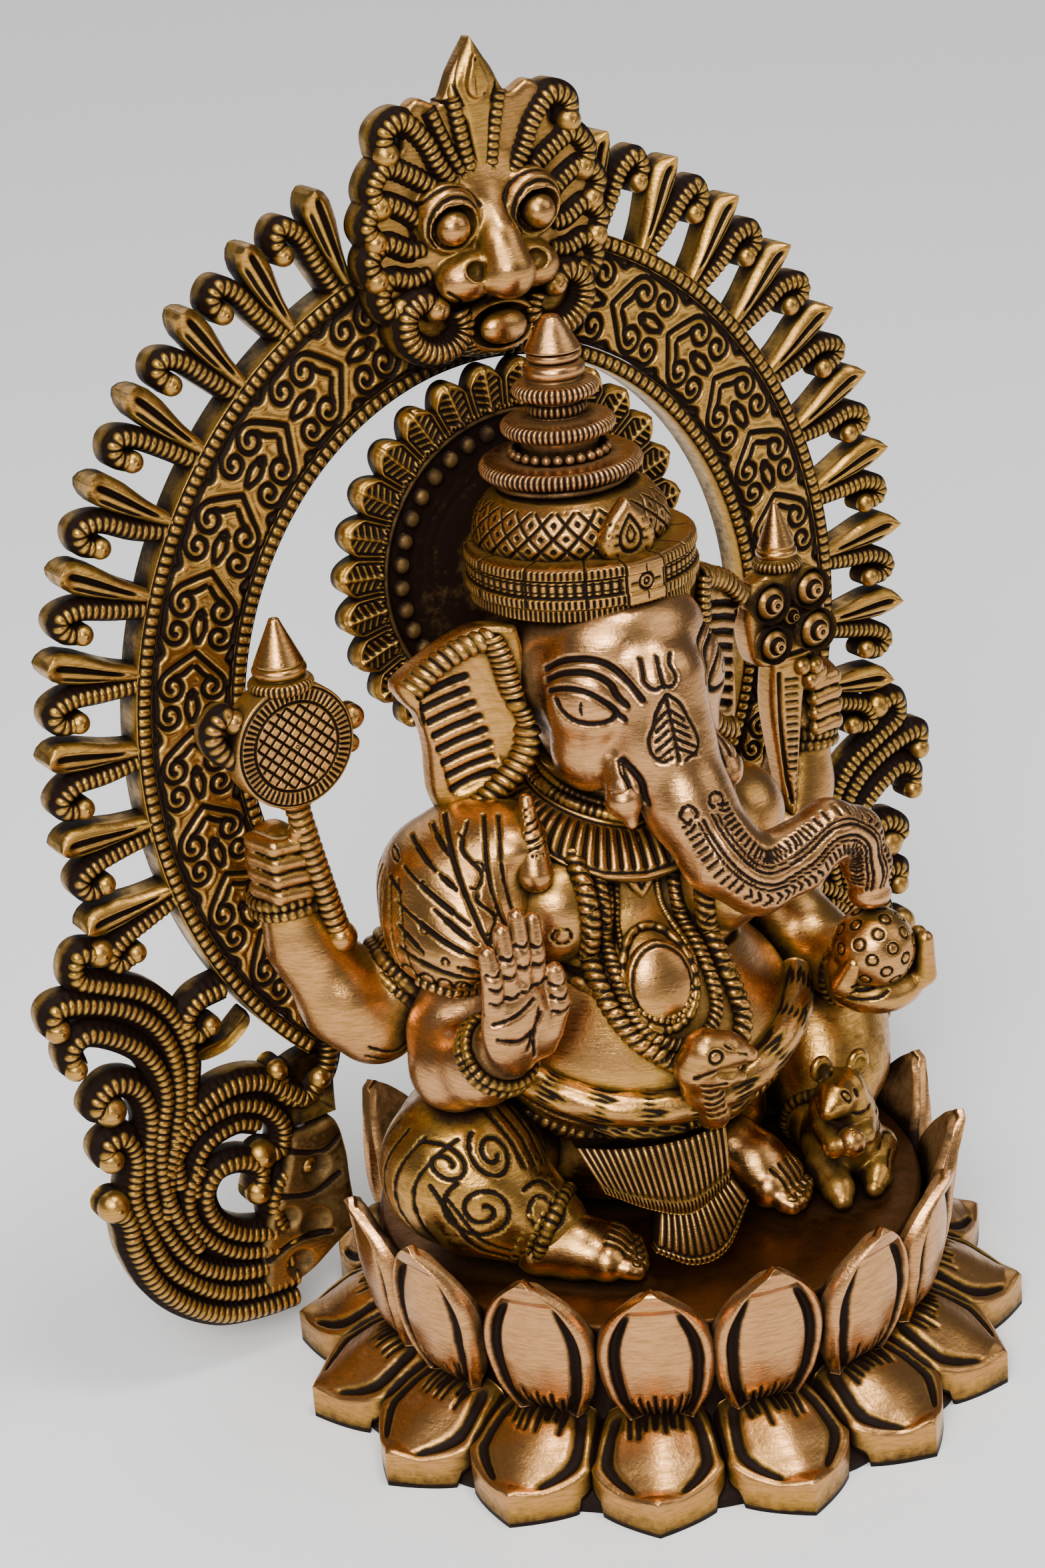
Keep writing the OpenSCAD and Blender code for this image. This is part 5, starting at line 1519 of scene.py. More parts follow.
def collar(body):
    """A broad ribbed collar that lies on the chest, with a beaded rope along its upper edge."""
    shape = Shape()
    steps = 62 * 10
    a = np.linspace(0, TAU, steps, endpoint=False)
    off = np.degrees(np.minimum(a, TAU - a))
    z_in = np.minimum(150 + 11.5 * np.sin(np.radians(off) / 2), 160.5)
    z_out = np.interp(off, [0, 19, 33, 50, 70, 110, 180], [140, 141.2, 143.6, 147.5, 150.5, 152, 153])
    r_in, r_out = np.interp(off, [0, 90, 180], [20.5, 19.5, 18.5]), np.interp(off, [0, 40, 90, 180],
        [31, 32, 31, 28])
    t = np.linspace(0, 1, 26)[:, None]
    cut = (1 - np.abs(np.sin(a * 31)) ** 0.7) * within(t, 0.16, 0.2, 0.86, 0.9)
    line = np.clip(bump(t - 0.13, 0.035) + bump(t - 0.91, 0.03), 0, 1)
    g = most(cut, line + 0 * a)
    rise = 1.3 * np.sin(pi * t) - 1.1 * cut - 0.9 * line
    r = r_in + (r_out - r_in) * t + 0.7 * rise
    z = z_in + (z_out - z_in) * t + 0.75 * rise
    under_r, under_z = r_in + (r_out - r_in) * t - 2.2, z_in + (z_out - z_in) * t - 2.4
    rings = np.stack([np.concatenate([r, under_r[::-1], r[:1]]) * np.sin(a),
        6 - np.concatenate([r, under_r[::-1], r[:1]]) * np.cos(a),
        np.concatenate([z, under_z[::-1], z[:1]])], -1)
    shape.loft(rings, np.concatenate([g, np.full(g.shape, 0.4), g[:1]]), caps=False)
    for dr, dz, size, pitch in ((-0.4, 0.9, 1.7, 1.8), (-2.4, 2.6, 1.1, 1.4)):
        rope = np.stack([(r_in + dr) * np.sin(a), 6 - (r_in + dr) * np.cos(a), z_in + dz], 1)[::4]
        cord(shape, np.vstack([rope, rope[:1]]), size, pitch=pitch, depth=0.35, resample=False)
    finish_twisted(shape, "collar")


def garland(body):
    shape = Shape()
    outer = [(-17, 149), (-16, 140), (-15.6, 131), (-16, 122), (-14.5, 113), (-9, 103.5), (0, 96.5),
        (8, 93.6), (15, 95.6), (18.6, 102), (17.4, 111), (15, 120), (13.4, 130), (14, 140), (15.5, 148)]
    cord(shape, body.front(outer, 0.8), 2.7, pitch=2.5, depth=0.42, twist=1.0)
    inner = [(-11, 146), (-11.4, 137), (-11.4, 127), (-10.8, 116), (-7.6, 106.6), (-1, 101.4), (7, 101.4),
        (12, 107), (11.4, 117), (8.6, 127), (8, 137), (9.6, 146)]
    cord(shape, body.front(inner, 0.7), 1.9, pitch=1.8, depth=0.42, twist=1.0)
    for x0, low in ((-7.2, 106.4), (-4.8, 107.6)):
        loop = [(x0, 143), (x0 - 1.6, 132), (x0 - 3.2, 120), (x0 - 1, 111), (1, low), (8 + x0 * 0.4, 111),
            (8.4, 119), (4.4, 130), (5, 143)]
        cord(shape, body.front(loop, 0.3), 0.9, pitch=1.5, depth=0.25)
    leaf = Clay((-10, -50, 124), (10, -10, 150), 0.45, view=-43)
    y = float(body.front([(0, 137), (0.1, 137)])[0][1])
    leaf.plate([(0, 130), (3.4, 135), (5.6, 141), (5, 146.5), (0, 147.5), (-5, 146.5), (-5.6, 141),
        (-3.4, 135)], y - 0.5, 4.4, round_=1.6)
    leaf.cut([(0, 134), (1.7, 138.5), (1.2, 143), (0, 145), (-1.2, 143), (-1.7, 138.5), (0, 134)], 0.5, 0.7)
    for s in (-1, 1):
        for k in range(5):
            z = 145 - 2.6 * k
            leaf.cut([(s * 2.2, z - 0.8), (s * (4.6 - 0.35 * k), z + 0.9)], 0.4, 0.6)
    leaf.add_to(shape)
    finish_twisted(shape, "garland")


def medallion(body):
    shape = Shape()
    disc = Clay((-14, -56, 98), (12, -18, 134), 0.5)
    y = float(body.front([(-1, 115), (-0.9, 115)])[0][1])
    disc.ball((-1, y + 1.2, 115.4), (8.6, 4.0, 10.4), 1, turn=(-20, 0, 0))
    disc.cut(oval(-1, 115.4, 7.4, 9.0, np.linspace(0, TAU, 40)), 0.6, 0.7)
    disc.add_to(shape)
    ring = oval(-1, 115.4, 8.8, 10.6, np.linspace(0, TAU, 50))
    cord(shape, body.front(ring, 0.5), 1.3, pitch=1.6, depth=0.35, resample=False)
    finish_twisted(shape, "medallion")


SHAWL_AT = np.array([-44.0, 6, 135])


def cut_aimed(body, points, width, depth, azimuth=-30):
    """A stroke along (across, z) points from SHAWL_AT, seen by one who faces the body at this azimuth."""
    path = through(points, 0.9)
    if len(path) == 2:
        path = path[0] + (path[1] - path[0]) * np.linspace(0, 1, 16)[:, None]
    a = radians(azimuth)
    look = np.array([-sin(a), cos(a), 0])
    across = np.array([look[1], -look[0], 0])
    start = path[:, :1] * across + path[:, 1:] * np.array([0, 0, 1]) + SHAWL_AT - 45 * look
    line = body.drape(start, look)
    body.strokes.append((line, width, depth))
    return line


def shawl():
    body = Clay((-74, -26, 112), (-22, 46, 168), 0.5)
    each(body.ball, ((-44, 8, 137), (19, 22, 19), 2), ((-52, 2, 129), (13, 20, 13), 4),
        ((-36, 4, 150), (12, 18, 9), 5))
    body.trim(2, 116)
    cuts = [((-5.5, 20.5), (-2, 16.5)), ((-13, 13), (1.5, 2.5)), ((-15.5, 5), (4.5, -5.5)),
        ((-4.5, 13), (-1, 10)), ((-6.5, 5.5), (3, -1.5)), ((-15.5, 0), (-10, -4)), ((-16, -5), (3.5, -11)),
        ((-2, -6.5), (3.2, -8.8)), ((-17, 9.5), (-14.5, 7.5)), ((-11, 18.5), (-5.5, 13.5))]
    for (x0, z0), (x1, z1) in cuts:
        line = cut_aimed(body, [(x0, z0), (x1, z1)], 0.75, 0.9)
        quarter = len(line) // 4
        body.strokes.append((line[quarter:-len(line) // 4], 1.15, 1.1))
    for x, z in ((-9.5, 1), (-5, -5.2), (-8.5, 10.4), (-15, 14), (-1, -12.5)):
        cut_aimed(body, oval(x, z, 0.9, 0.9, np.linspace(0, TAU, 12)), 0.5, 0.7)
    # the band of squiggles that comes down beside the chest
    cut_aimed(body, [(-2.5, 22), (-0.5, 14), (2.5, 5), (7, -5)], 1.0, 1.1)
    cut_aimed(body, [(7, 24), (6.8, 14), (8.6, 4), (11.5, -4)], 0.8, 1.0)
    cut_aimed(body, [(10.5, 24), (10.2, 14), (11.6, 4), (13.2, -3)], 0.7, 0.9)
    wave = [(1.6 + 0.243 * (22 - z) + 1.5 * sin(z * 0.62), z) for z in np.linspace(22, -3, 40)]
    cut_aimed(body, wave, 0.75, 1.0)
    for k in range(5):
        z = 19 - 5.1 * k
        x = 1.7 + 0.245 * (22 - z) + (1.6 if k % 2 else -1.4)
        hook = [(x - 0.9, z + 1.2), (x + 0.5, z + 0.8), (x + 0.7, z - 0.7), (x - 0.3, z - 1.4)]
        cut_aimed(body, hook, 0.5, 0.8)
    for k in range(6):
        x = -16 + 4.2 * k
        arch = [(x, -14.5 - 0.12 * x), (x + 0.5, -12.2 - 0.12 * x), (x + 2, -11.2 - 0.12 * x),
            (x + 3.5, -12.4 - 0.12 * x), (x + 3.8, -14.8 - 0.12 * x)]
        cut_aimed(body, arch, 0.6, 0.9)
    for k in range(7):
        cut_side(body, [(-4 + 6.5 * k, 121), (5.6 * k, 133), (6 + 3.2 * k, 145)], 0.7, 0.9)
    shape = Shape()
    body.add_to(shape)
    hem = body.front([(-66, 124), (-58, 119.6), (-48, 117.6), (-38, 119)], 0.2)
    cord(shape, hem, 1.5, pitch=1.9, depth=0.35)
    # the tassel under the ear
    tassel = Clay((-46, -26, 138), (-24, 4, 164), 0.35)
    tassel.limb([(-31.5, -7, 161), (-33, -10.5, 154)], [1.8, 2.6], 1)
    tassel.limb([(-33.2, -11.2, 152.5), (-34.4, -13.4, 144.8)], [3.4, 4.4], 1.5)
    for k in range(-2, 3):
        tassel.cut([(-33.8 + 0.9 * k, 150.4), (-34.4 + 1.6 * k, 142)], 0.5, 0.9)
    for z, width in ((152.2, 0.6), (154, 0.6), (156, 0.4), (157.4, 0.4), (158.8, 0.4), (160.2, 0.4)):
        x = -33.3 + 0.25 * (z - 152)
        tassel.cut([(x - 4, z - 0.9), (x, z), (x + 4, z + 0.4)], width, 0.8)
    tassel.add_to(shape)
    shape.piece("shoulder_shawl")


def cut_side(body, points, width, depth):
    """A stroke along (y, z) points dropped on to the body from its right side."""
    path = smooth_path(points, 1.0)[0]
    start = np.stack([np.full(len(path), body.lo[0] + 0.5), path[:, 0], path[:, 1]], 1)
    body.strokes.append((body.drape(start, (1, 0, 0)), width, depth))


# ---- arms and hands ----

def fist(body, centre, s, r=7.4):
    """A closed hand round an upright handle: four fingers in front, the thumb over them."""
    c = np.array(centre, float)
    body.ball(c + [s * 0.5, 3, 0], (r, r * 0.85, r * 1.25), 1.5)
    lines = []
    for k in range(4):
        z = c[2] + 6.6 - 4.2 * k
        body.limb([(c[0] + s * 6.6, c[1] + 0.5, z), (c[0] + s * 4.5, c[1] - 6.4, z - 0.4),
            (c[0] - s * 2.2, c[1] - 7.6, z - 0.6)], [2.5, 2.5, 2.2], 0.5)
        lines.append([(c[0] + s * 7.5, c[1] - 2, z - 2.1), (c[0] + s * 4, c[1] - 8, z - 2.3),
            (c[0] - s * 2.5, c[1] - 9, z - 2.5)])
    body.limb([(c[0] - s * 5.5, c[1] + 1, c[2] + 4), (c[0] - s * 4.6, c[1] - 6, c[2] + 7.5),
        (c[0] - s * 1, c[1] - 8.4, c[2] + 9.5)], [3.1, 2.7, 2.2], 0.8)
    for line in lines:
        body.trace(smooth_path(line, 0.7)[0], 0.6, 0.7)


def wrist_rings(shape, centre, direction, r, widths=(2.0, 1.5)):
    """Ribbed bracelets side by side round a wrist."""
    d = unit(direction)
    u = unit(np.cross(d, (0, 0, 1) if abs(d[2]) < 0.8 else (0, 1, 0)))
    v = np.cross(d, u)
    at = -sum(widths) / 2
    for k, w in enumerate(widths):
        c = np.array(centre) + d * (at + w / 2) * 1.6
        ring = circle_points(c, r - 0.35 * k, u, v, 90)
        cord(shape, ring, w, pitch=1.9, depth=0.36, resample=False)
        at += w


def rear_arms():
    for s, word in SIDES:
        body = sided_clay(s, (30, 4, 84), (94, 48, 168), 0.65)
        body.limb([(s * 38, 20, 124), (s * 50, 22, 112), (s * 62, 24, 102)], [13, 12.5, 11.5], 3)
        body.limb([(s * 62, 24, 102), (s * 68, 26, 108), (s * 75, 31, 124), (s * 78.5, 32, 139)],
            [11.5, 11.5, 9.6, 7.6], 3)
        fist(body, (s * 79, 31, 147.5), s)
        for k in range(2):
            body.cut([(s * 58, 97 + 3 * k), (s * 63, 93.5 + 3 * k), (s * 69, 96 + 3 * k)], 0.7, 0.8)
        shape = Shape()
        body.add_to(shape)
        wrist_rings(shape, (s * 52, 22.5, 110), (s * 10, 2, -9), 12.6, (1.8, 2.4, 1.8))
        shape.piece("rear_%s_arm" % word)


def front_right_arm():
    body = Clay((-78, -46, 84), (-28, 24, 152), 0.55)
    body.limb([(-42, 4, 116), (-52, 1, 103), (-56, -5, 98)], [12, 11.5, 11], 3)
    body.limb([(-56, -5, 98), (-55, -16, 102), (-52.5, -24, 109)], [11, 9.5, 7.8], 3)
    body.ball((-52, -29, 118), (10.2, 5.6, 12.8), 2.0, turn=(0, 0, 14))
    body.ball((-46, -28.5, 113.5), (5.2, 4.8, 8.0), 2.0, turn=(0, -14, 10))
    for k, length in enumerate((11.5, 15.2, 17.4, 14.6)):
        x, y = -58.9 + 4.35 * k, -31.2 + 1.05 * k
        lean = (k - 0.6) * 0.55
        body.limb([(x, y, 124), (x + lean * 0.4, y - 0.7, 125 + length * 0.55),
            (x + lean, y + 0.6, 126.4 + length)], [2.75, 2.6, 2.0], 0.35)
        for f in (0.05, 0.38, 0.68):
            z = 126 + length * f
            body.cut([(x - 1.9 + lean * f, z), (x + lean * f, z - 0.8), (x + 1.9 + lean * f, z)], 0.7, 0.9)
    body.limb([(-44, -29, 113), (-41.2, -30.5, 120), (-41.2, -30, 127.4)], [4.2, 3.3, 2.4], 0.6)
    for f, x in ((119, -41.6), (122.4, -41.4), (125.4, -41.2)):
        body.cut([(x - 2.4, f), (x, f - 0.8), (x + 2.2, f + 0.2)], 0.65, 0.8)
    palm = [[(-60.5, 121), (-55, 122), (-49, 124)], [(-60, 117), (-54.5, 115.4), (-50, 117)],
        [(-48, 121), (-50.4, 115), (-50, 109)], [(-52.4, 112), (-50.6, 116.6), (-47.4, 120)]]
    for p in palm:
        body.cut(p, 0.85, 1.0)
    body.piece("front_right_arm", "polished_brass")


def front_left_arm():
    body = Clay((28, -58, 82), (72, 24, 126), 0.55)
    body.limb([(42, 4, 114), (47, 0, 103), (50, -8, 97.5)], [12, 11, 10.4], 3)
    body.limb([(50, -8, 97.5), (50.5, -20, 96), (50, -28, 96)], [10.4, 8.6, 7.2], 3)
    each(body.ball, ((47, -37.5, 98.5), (12, 12, 6.4), 2), ((41, -35, 103), (6, 7, 8), 2.5))
    for k in range(4):
        a = radians(-34 + 25 * k)
        u = np.array([cos(a), sin(a), 0])
        base = np.array([45.5, -39.5, 98.0])
        body.limb([base + 7.0 * u, base + 12.4 * u + [0, 0, 3.4], base + 12.6 * u + [0, 0, 13.0 - k]],
            [3.2, 2.9, 2.2], 0.3)
    body.limb([(39, -36, 99), (35.4, -40, 103), (36.6, -43, 109)], [4.0, 3.2, 2.4], 0.8)
    for k in range(3):
        ring = [(35.4 + 2.6 * j, 99.4 + 1.9 * k + 0.2 * j * j) for j in range(4)]
        body.cut(ring, 0.6, 0.7)
    body.piece("front_left_arm", extra_dark=0.08)


def bangles():
    shape = Shape()
    for s in (-1, 1):
        wrist_rings(shape, (s * 78, 32, 137), (s * 1.5, 1, 14), 8.8, (1.6, 1.9))
    wrist_rings(shape, (-53.4, -21.5, 106.8), (1.5, -8, 7.5), 9.6, (1.7, 1.4))
    wrist_rings(shape, (50.3, -25, 96.2), (0, -10, 0), 9.0, (1.7, 1.4))
    shape.piece("bangles", extra_dark=0.1)


# ---- what the hands hold ----

HELD_Y = 22.5                                 # middle of the pieces in the rear hands

def face_disc(shape, centre, y_front, y_back, r0, r1, rows, steps, surface):
    """A disc facing the front; surface(r, angle) gives how far it sinks and a groove."""
    t = np.linspace(0, 1, rows)[:, None]
    a = np.linspace(0, TAU, steps, endpoint=False)[None, :]
    r = r0 + (r1 - r0) * t + 0 * a
    sink, g = surface(r, a + 0 * t)
    y = y_front + sink
    edge = np.full((1, steps), 1.0)
    r = np.concatenate([r, edge * (r1 + 0.5), edge * (r1 + 0.5), edge * r1, edge * r0], 0)
    y = np.concatenate([y, edge * (y_front + 1), edge * (y_back - 1), edge * y_back, edge * y_back], 0)
    g = np.concatenate([g, np.repeat(edge * 0.2, 4, 0)], 0)
    rings = np.stack([centre[0] + r * np.sin(a), y, centre[1] + r * np.cos(a)], -1)
    shape.loft(rings, g)


def goad():
    shape = Shape()
    top = node_box("goad")[1][2]
    x, z, y = -78.0, 180.5, HELD_Y

    def surface(r, a):
        u, v = r * np.sin(a), r * np.cos(a)
        grid = np.maximum(bump(np.mod((u + v) / 3.4, 1) - 0.5, 0.16),
            bump(np.mod((u - v) / 3.4, 1) - 0.5, 0.16))
        grid = grid * (1 - ease(r, 10.2, 10.6))
        ring = np.maximum(bump(r - 11.0, 0.5), bump(r - 14.6, 0.4))
        radial = (1 - np.abs(np.sin(a * 30)) ** 0.8) * within(r, 11.4, 11.7, 14.0, 14.3)
        g = most(grid, ring, radial)
        return 0.9 * g + 0.5 * ease(r, 14.6, 15), g

    face_disc(shape, (x, z), y - 5.2, y + 4.6, 0.5, 15.0, 56, 300, surface)
    cone = [(1, z + 11)] + rounded(8.0, z + 13.2, 3.0, 1.4) + [(5.2, z + 16.6)]
    cone += rounded(6.6, z + 17, 2.6, 1.2) + [(6.0, z + 20), (2.4, top - 3), (1.2, top - 0.3), (0.2, top)]
    ring_profile(shape, fine_profile(cone), y, 200, ripple=ribs(36, z + 13.2, z + 16, 0.8), x=x)
    handle = [(x + 8.4, y, 127), (x + 5.4, y, 140), (x + 2.2, y, 155), (x, y, 167)]
    cord(shape, handle, 3.2, pitch=2.2, depth=0.22)
    bead(shape, (x + 8.6, y, 126.6), 4.0)
    bead(shape, (x + 0.2, y, 165.5), 4.4, squash=(1.1, 1, 0.6))
    hook = [(x - 13, z - 1), (x - 17.4, z + 1.8), (x - 19.4, z + 7), (x - 16.6, z + 10.6),
        (x - 13.6, z + 8.6)]
    relief_rope(shape, hook, 2.6, y - 3.4, y + 3, pitch=2.2, flange=0.4, ball=2.9, ends=(1.2, 1))
    knob(shape, (x + 17.6, z + 1.4), 3.2, y - 3, y + 3)
    knob(shape, (x + 16.4, z - 5), 2.4, y - 2.4, y + 2.6)
    shape.piece("goad")


def sceptre():
    shape = Shape()
    x, z, y = 66.0, 176.0, HELD_Y
    top = node_box("lotus_sceptre")[1][2]
    body = Clay((44, 8, 112), (88, 34, 196), 0.5)
    body.plate([(x - 10, z + 11), (x, z + 13.5), (x + 10, z + 11), (x + 12.6, z), (x + 10, z - 11),
        (x, z - 12.6), (x - 10, z - 11), (x - 12.6, z)], y, 8, round_=2.2)
    stem = [(x - 5, z - 12), (x + 6, z - 12), (x + 4.6, z - 26), (x + 2.6, z - 42), (x + 1, z - 55),
        (x - 1.4, z - 55), (x - 4, z - 40), (x - 6, z - 24)]
    body.plate(stem, y + 0.6, 8, k=1.0, round_=2.4)
    body.cut([(x - 3.2, z - 15), (x - 3.4, z - 28), (x - 2.4, z - 42), (x - 0.8, z - 52)], 1.0, 1.2)
    for k in range(17):
        body.cut([(x - 1.4, z - 17 - 2.1 * k), (x + 2.6 - 0.12 * k, z - 17.6 - 2.1 * k)], 0.7, 0.9)
    body.cut([(x - 10, z - 8), (x - 3, z - 10), (x + 5, z - 10), (x + 11, z - 7)], 0.9, 1.1)
    body.add_to(shape)
    for dx, dz, size in ((-6.6, 6, 5.0), (6.2, 7, 5.0), (-6, -5.6, 4.6), (7, -4.4, 5.4), (0.2, 0.8, 3.0)):

        def surface(r, ang):
            g = np.maximum(bump(r - size * 0.44, 0.55), bump(r - size * 0.94, 0.5))
            g = np.maximum(g, 0.6 * bump(r - 0.5, 0.35))
            return size - np.sqrt(np.maximum(size * size - r * r * 0.9, 0)) + 0.8 * g - 1.2 * ease(size
                * 0.44 - r, 0, 0.4), g

        face_disc(shape, (x + dx, z + dz), y - 4 - size * 0.8, y + 1, 0.3, size, 24, 60, surface)
    for dx, dz, size in ((4, -14.6, 2.6), (8, -15.4, 2.4), (6.4, -19, 2.2)):
        knob(shape, (x + dx, z + dz), size, y - 5.6, y + 1)
    cone = [(1, z + 11)] + rounded(6.6, z + 12.6, 2.6, 1.2) + [(4.6, z + 15.6)]
    cone += rounded(5.4, z + 16, 2.2, 1.0) + [(4.8, z + 19), (2.2, top - 4), (0.8, top - 0.4), (0.2, top)]
    ring_profile(shape, fine_profile(cone), y, 160, ripple=ribs(30, z + 12.6, z + 15.2, 0.7), x=x)
    shape.piece("lotus_sceptre")


def sweet():
    body = Clay((32, -53, 97), (58, -27, 123), 0.45)
    centre = np.array([45, -40, 110.0])
    body.ball(centre, 10.4, 1)
    golden = pi * (3 - sqrt(5))
    for k in range(46):
        up = 1 - 2 * (k + 0.5) / 46
        side = sqrt(1 - up * up)
        n = np.array([side * cos(golden * k), side * sin(golden * k), up])
        u = unit(np.cross(n, (0.3, 0.2, 1)))
        body.trace(circle_points(centre + 10.4 * n, 1.5, u, np.cross(n, u), 13), 0.42, 0.6)
    body.piece("sweet")


# ---- legs, feet and cloth ----

def legs():
    for s, word in SIDES:
        body = sided_clay(s, (16, -34, 42), (80, 36, 94), 0.65)
        body.limb([(s * 28, 16, 62), (s * 46, 8, 66), (s * 54, 0, 67)], [18, 20, 20.4], 3)
        body.limb([(s * 54, 0, 67), (s * 52, -8, 62), (s * 46, -15, 57), (s * 42, -20, 54)],
            [19, 15.5, 11.5, 9.4], 4)
        body.trim(2, SEAT_Z + 0.2)
        if s < 0:
            for c, r, turn in (((-61, 66), 8.0, 1.9), ((-47, 63), 6.4, -1.7), ((-55, 78), 5.6, 1.6),
                    ((-66, 77), 4.6, -1.4)):
                body.cut(spiral(c, r, 1.2, 120, turn, 40), 0.8, 0.9)
            for k in range(4):
                body.cut([(-52 + 4 * k, 86 - 1.4 * k), (-49 + 3.6 * k, 79 - 1.2 * k),
                    (-48 + 3.4 * k, 73 - k)], 0.8, 0.9)
            body.cut([(-70, 72), (-64, 57), (-54, 50), (-46, 48)], 0.9, 0.9)
            body.cut([(-68, 70), (-62, 58), (-53, 52.5), (-46, 50)], 0.6, 0.7)
            for k in range(6):
                cut_side(body, [(-12 + 6 * k, 82), (-8 + 6 * k, 70), (-9 + 5 * k, 54)], 0.7, 0.8)
        shape = Shape()
        body.add_to(shape)
        wrist_rings(shape, (s * 43.4, -18.4, 55), (s * -5, -6, -3), 10.6, (2.0, 1.4, 2.0))
        trim_floor(shape)
        shape.piece("%s_leg" % word, extra_dark=0.22)


def trim_floor(shape):
    """Presses what would sink below the seat up to it."""
    for co in shape.co:
        np.maximum(co[:, 2], SEAT_Z + 0.15, out=co[:, 2])


def foot(node, heel, ball, drop, width):
    """A bare foot from heel to ball; drop is how far the toes fall."""
    heel, ball = np.array(heel, float), np.array(ball, float)
    ahead = ball - heel
    ahead[2] = 0
    ahead /= np.linalg.norm(ahead)
    across = np.array([-ahead[1], ahead[0], 0])
    lo, hi = np.minimum(heel, ball) - 20, np.maximum(heel, ball) + 20
    lo[2] = SEAT_Z - 2
    body = Clay(lo, hi, 0.5)
    body.limb([heel, (heel + ball) / 2 + [0, 0, 0.5]], [8.2, 7.6], 2)
    for k in (-1, 0, 1):
        body.limb([(heel + ball) / 2, ball + across * k * width * 0.34], [7.2, 5.2], 2.5)
    for k in range(5):
        side = across * (k - 2) * width / 4.6
        reach = (7.4, 7.8, 7.2, 6.2, 5.2)[k]
        tip = ball + side * 1.08 + ahead * reach - [0, 0, drop]
        body.limb([ball + side + ahead * 1.5, tip - ahead * 2 + [0, 0, 0.6], tip], [3.0, 2.7, 2.4], 0.35)
        if k < 4:
            gap = side + across * width / 9.2
            line = [ball + gap + [0, 0, 4.6], ball + gap + ahead * 4 + [0, 0, 2.5 - drop * 0.4],
                ball + gap + ahead * 8 - [0, 0, drop]]
            body.trace(smooth_path(line, 0.6)[0], 0.7, 1.0)
        nail = tip + ahead * 0.2 + [0, 0, 2.0]
        body.trace(circle_points(nail, 1.2, ahead, across, 13), 0.32, 0.35)
    body.trim(2, SEAT_Z + 0.15)
    body.piece(node)


def pleats(body):
    shape = Shape()
    a = np.linspace(0, 1, 150)[None, :]
    t = np.linspace(0, 1, 26)[:, None]

    def fan(top, bottom, folds, border):
        top, _ = smooth_path(top, 0.25)
        bottom, _ = smooth_path(bottom, 0.25)
        pick = lambda p: np.stack([np.interp(a[0], np.linspace(0, 1, len(p)), p[:, i]) for i in range(3)], 1)
        p0, p1 = pick(top)[None], pick(bottom)[None]
        grid = p0 * (1 - t[..., None]) + p1 * t[..., None]
        cut = (1 - np.abs(np.sin(pi * folds * a)) ** 0.7) * (1 - ease(t, border - 0.02, border))
        edge = (1 - np.abs(np.sin(pi * folds * 1.6 * a)) ** 0.7) * ease(t, border + 0.04, border + 0.06)
        hem = bump(t - border, 0.03) + edge * (1 - ease(t, 0.95, 1))
        g = np.clip(most(cut + 0 * t, hem), 0, 1)
        puff = 1.6 * np.sin(pi * t) ** 0.5
        outer = grid + np.array([0, -1, 0]) * (puff - 1.2 * g)[..., None]
        inner = grid + np.array([0, 5.5, 0])
        rings = np.concatenate([outer, inner[:, ::-1]], 1)
        shape.loft(rings, np.concatenate([g, np.full(g.shape, 0.6)], 1))

    fan([(-26, -36, 77), (-14, -40.5, 76.6), (0, -42, 77), (11, -40.5, 78.5)],
        [(-21, -42, 66.5), (-10, -45, 61), (0, -46, 58.6), (10.5, -43, 63)], 22, 0.78)
    fan([(-8, -43, 61), (2, -45, 60), (11, -43, 64)],
        [(-11, -48, 51), (-2, -50, 46.6), (7, -48.5, 48), (14.5, -44.5, 58)], 15, 0.84)
    finish_twisted(shape, "cloth_pleats")


# ---- mouse ----

def mouse():
    body = Clay((14, -58, 42), (62, -10, 88), 0.5)
    each(body.ball, ((40, -30, 54), (10.5, 11, 11), 2), ((38.5, -33, 63), (8.6, 8.6, 8.6), 3))
    body.limb([(37, -35, 70), (32.5, -38, 70.5), (28.8, -40, 69.4)], [6.4, 4.4, 2.2], 2.5)
    body.ball((28.4, -40.4, 69.6), (1.6, 1.6, 1.6), 0.5)
    for s in (-1, 1):
        body.ball((38.5 + s * 4.6, -32.6 - s * 1.5, 76), (3.4, 1.8, 3.8), 0.8, turn=(0, s * 14, 0))
        body.ball((38.3 + s * 4.7, -34.6 - s * 1.5, 76), (2.0, 1.4, 2.5), 0.4, carve=True)
        body.limb([(37 + s * 6, -36, 62), (33.5 + s * 4.6, -42, 60.5), (31.5 + s * 1.8, -44, 61.5)],
            [3.6, 3.0, 2.3], 1)
        body.limb([(40 + s * 8, -34, 50), (36 + s * 6, -41.5, 47.2), (33.5 + s * 5, -45, 46)],
            [5.6, 4, 2.6], 1.5)
    body.limb([(48, -24, 48), (54, -20, 47), (56, -26, 46.4), (52, -31, 46)], [3, 2.2, 1.8, 1.2], 1)
    body.trim(2, SEAT_Z + 0.15)
    for s, c in ((-1, (33.4, -40.6, 72.2)), (1, (37.5, -41.2, 72.4))):
        body.trace(circle_points(c, 1.1, (0.8, -0.6, 0), (0, 0, 1), 13), 0.45, 0.6)
    for k in range(5):
        z = 50 + 3.4 * k
        body.cut([(44, z), (47.5, z + 1.6), (50, z + 1)], 0.5, 0.6)
    body.cut([(35, 67.4), (38, 66), (42, 66.6)], 0.5, 0.6)
    body.piece("mouse", extra_dark=0.2)

    treat = Shape()
    bead(treat, (32.4, -44.6, 61.6), 3.9, sides=40, rows=24)
    for k in range(7):
        a = TAU * k / 7
        bead(treat, (32.4 + 2.6 * cos(a), -46.4, 61.6 + 2.6 * sin(a)), 1.0, groove=0.3)
    treat.piece("mouse_sweet")


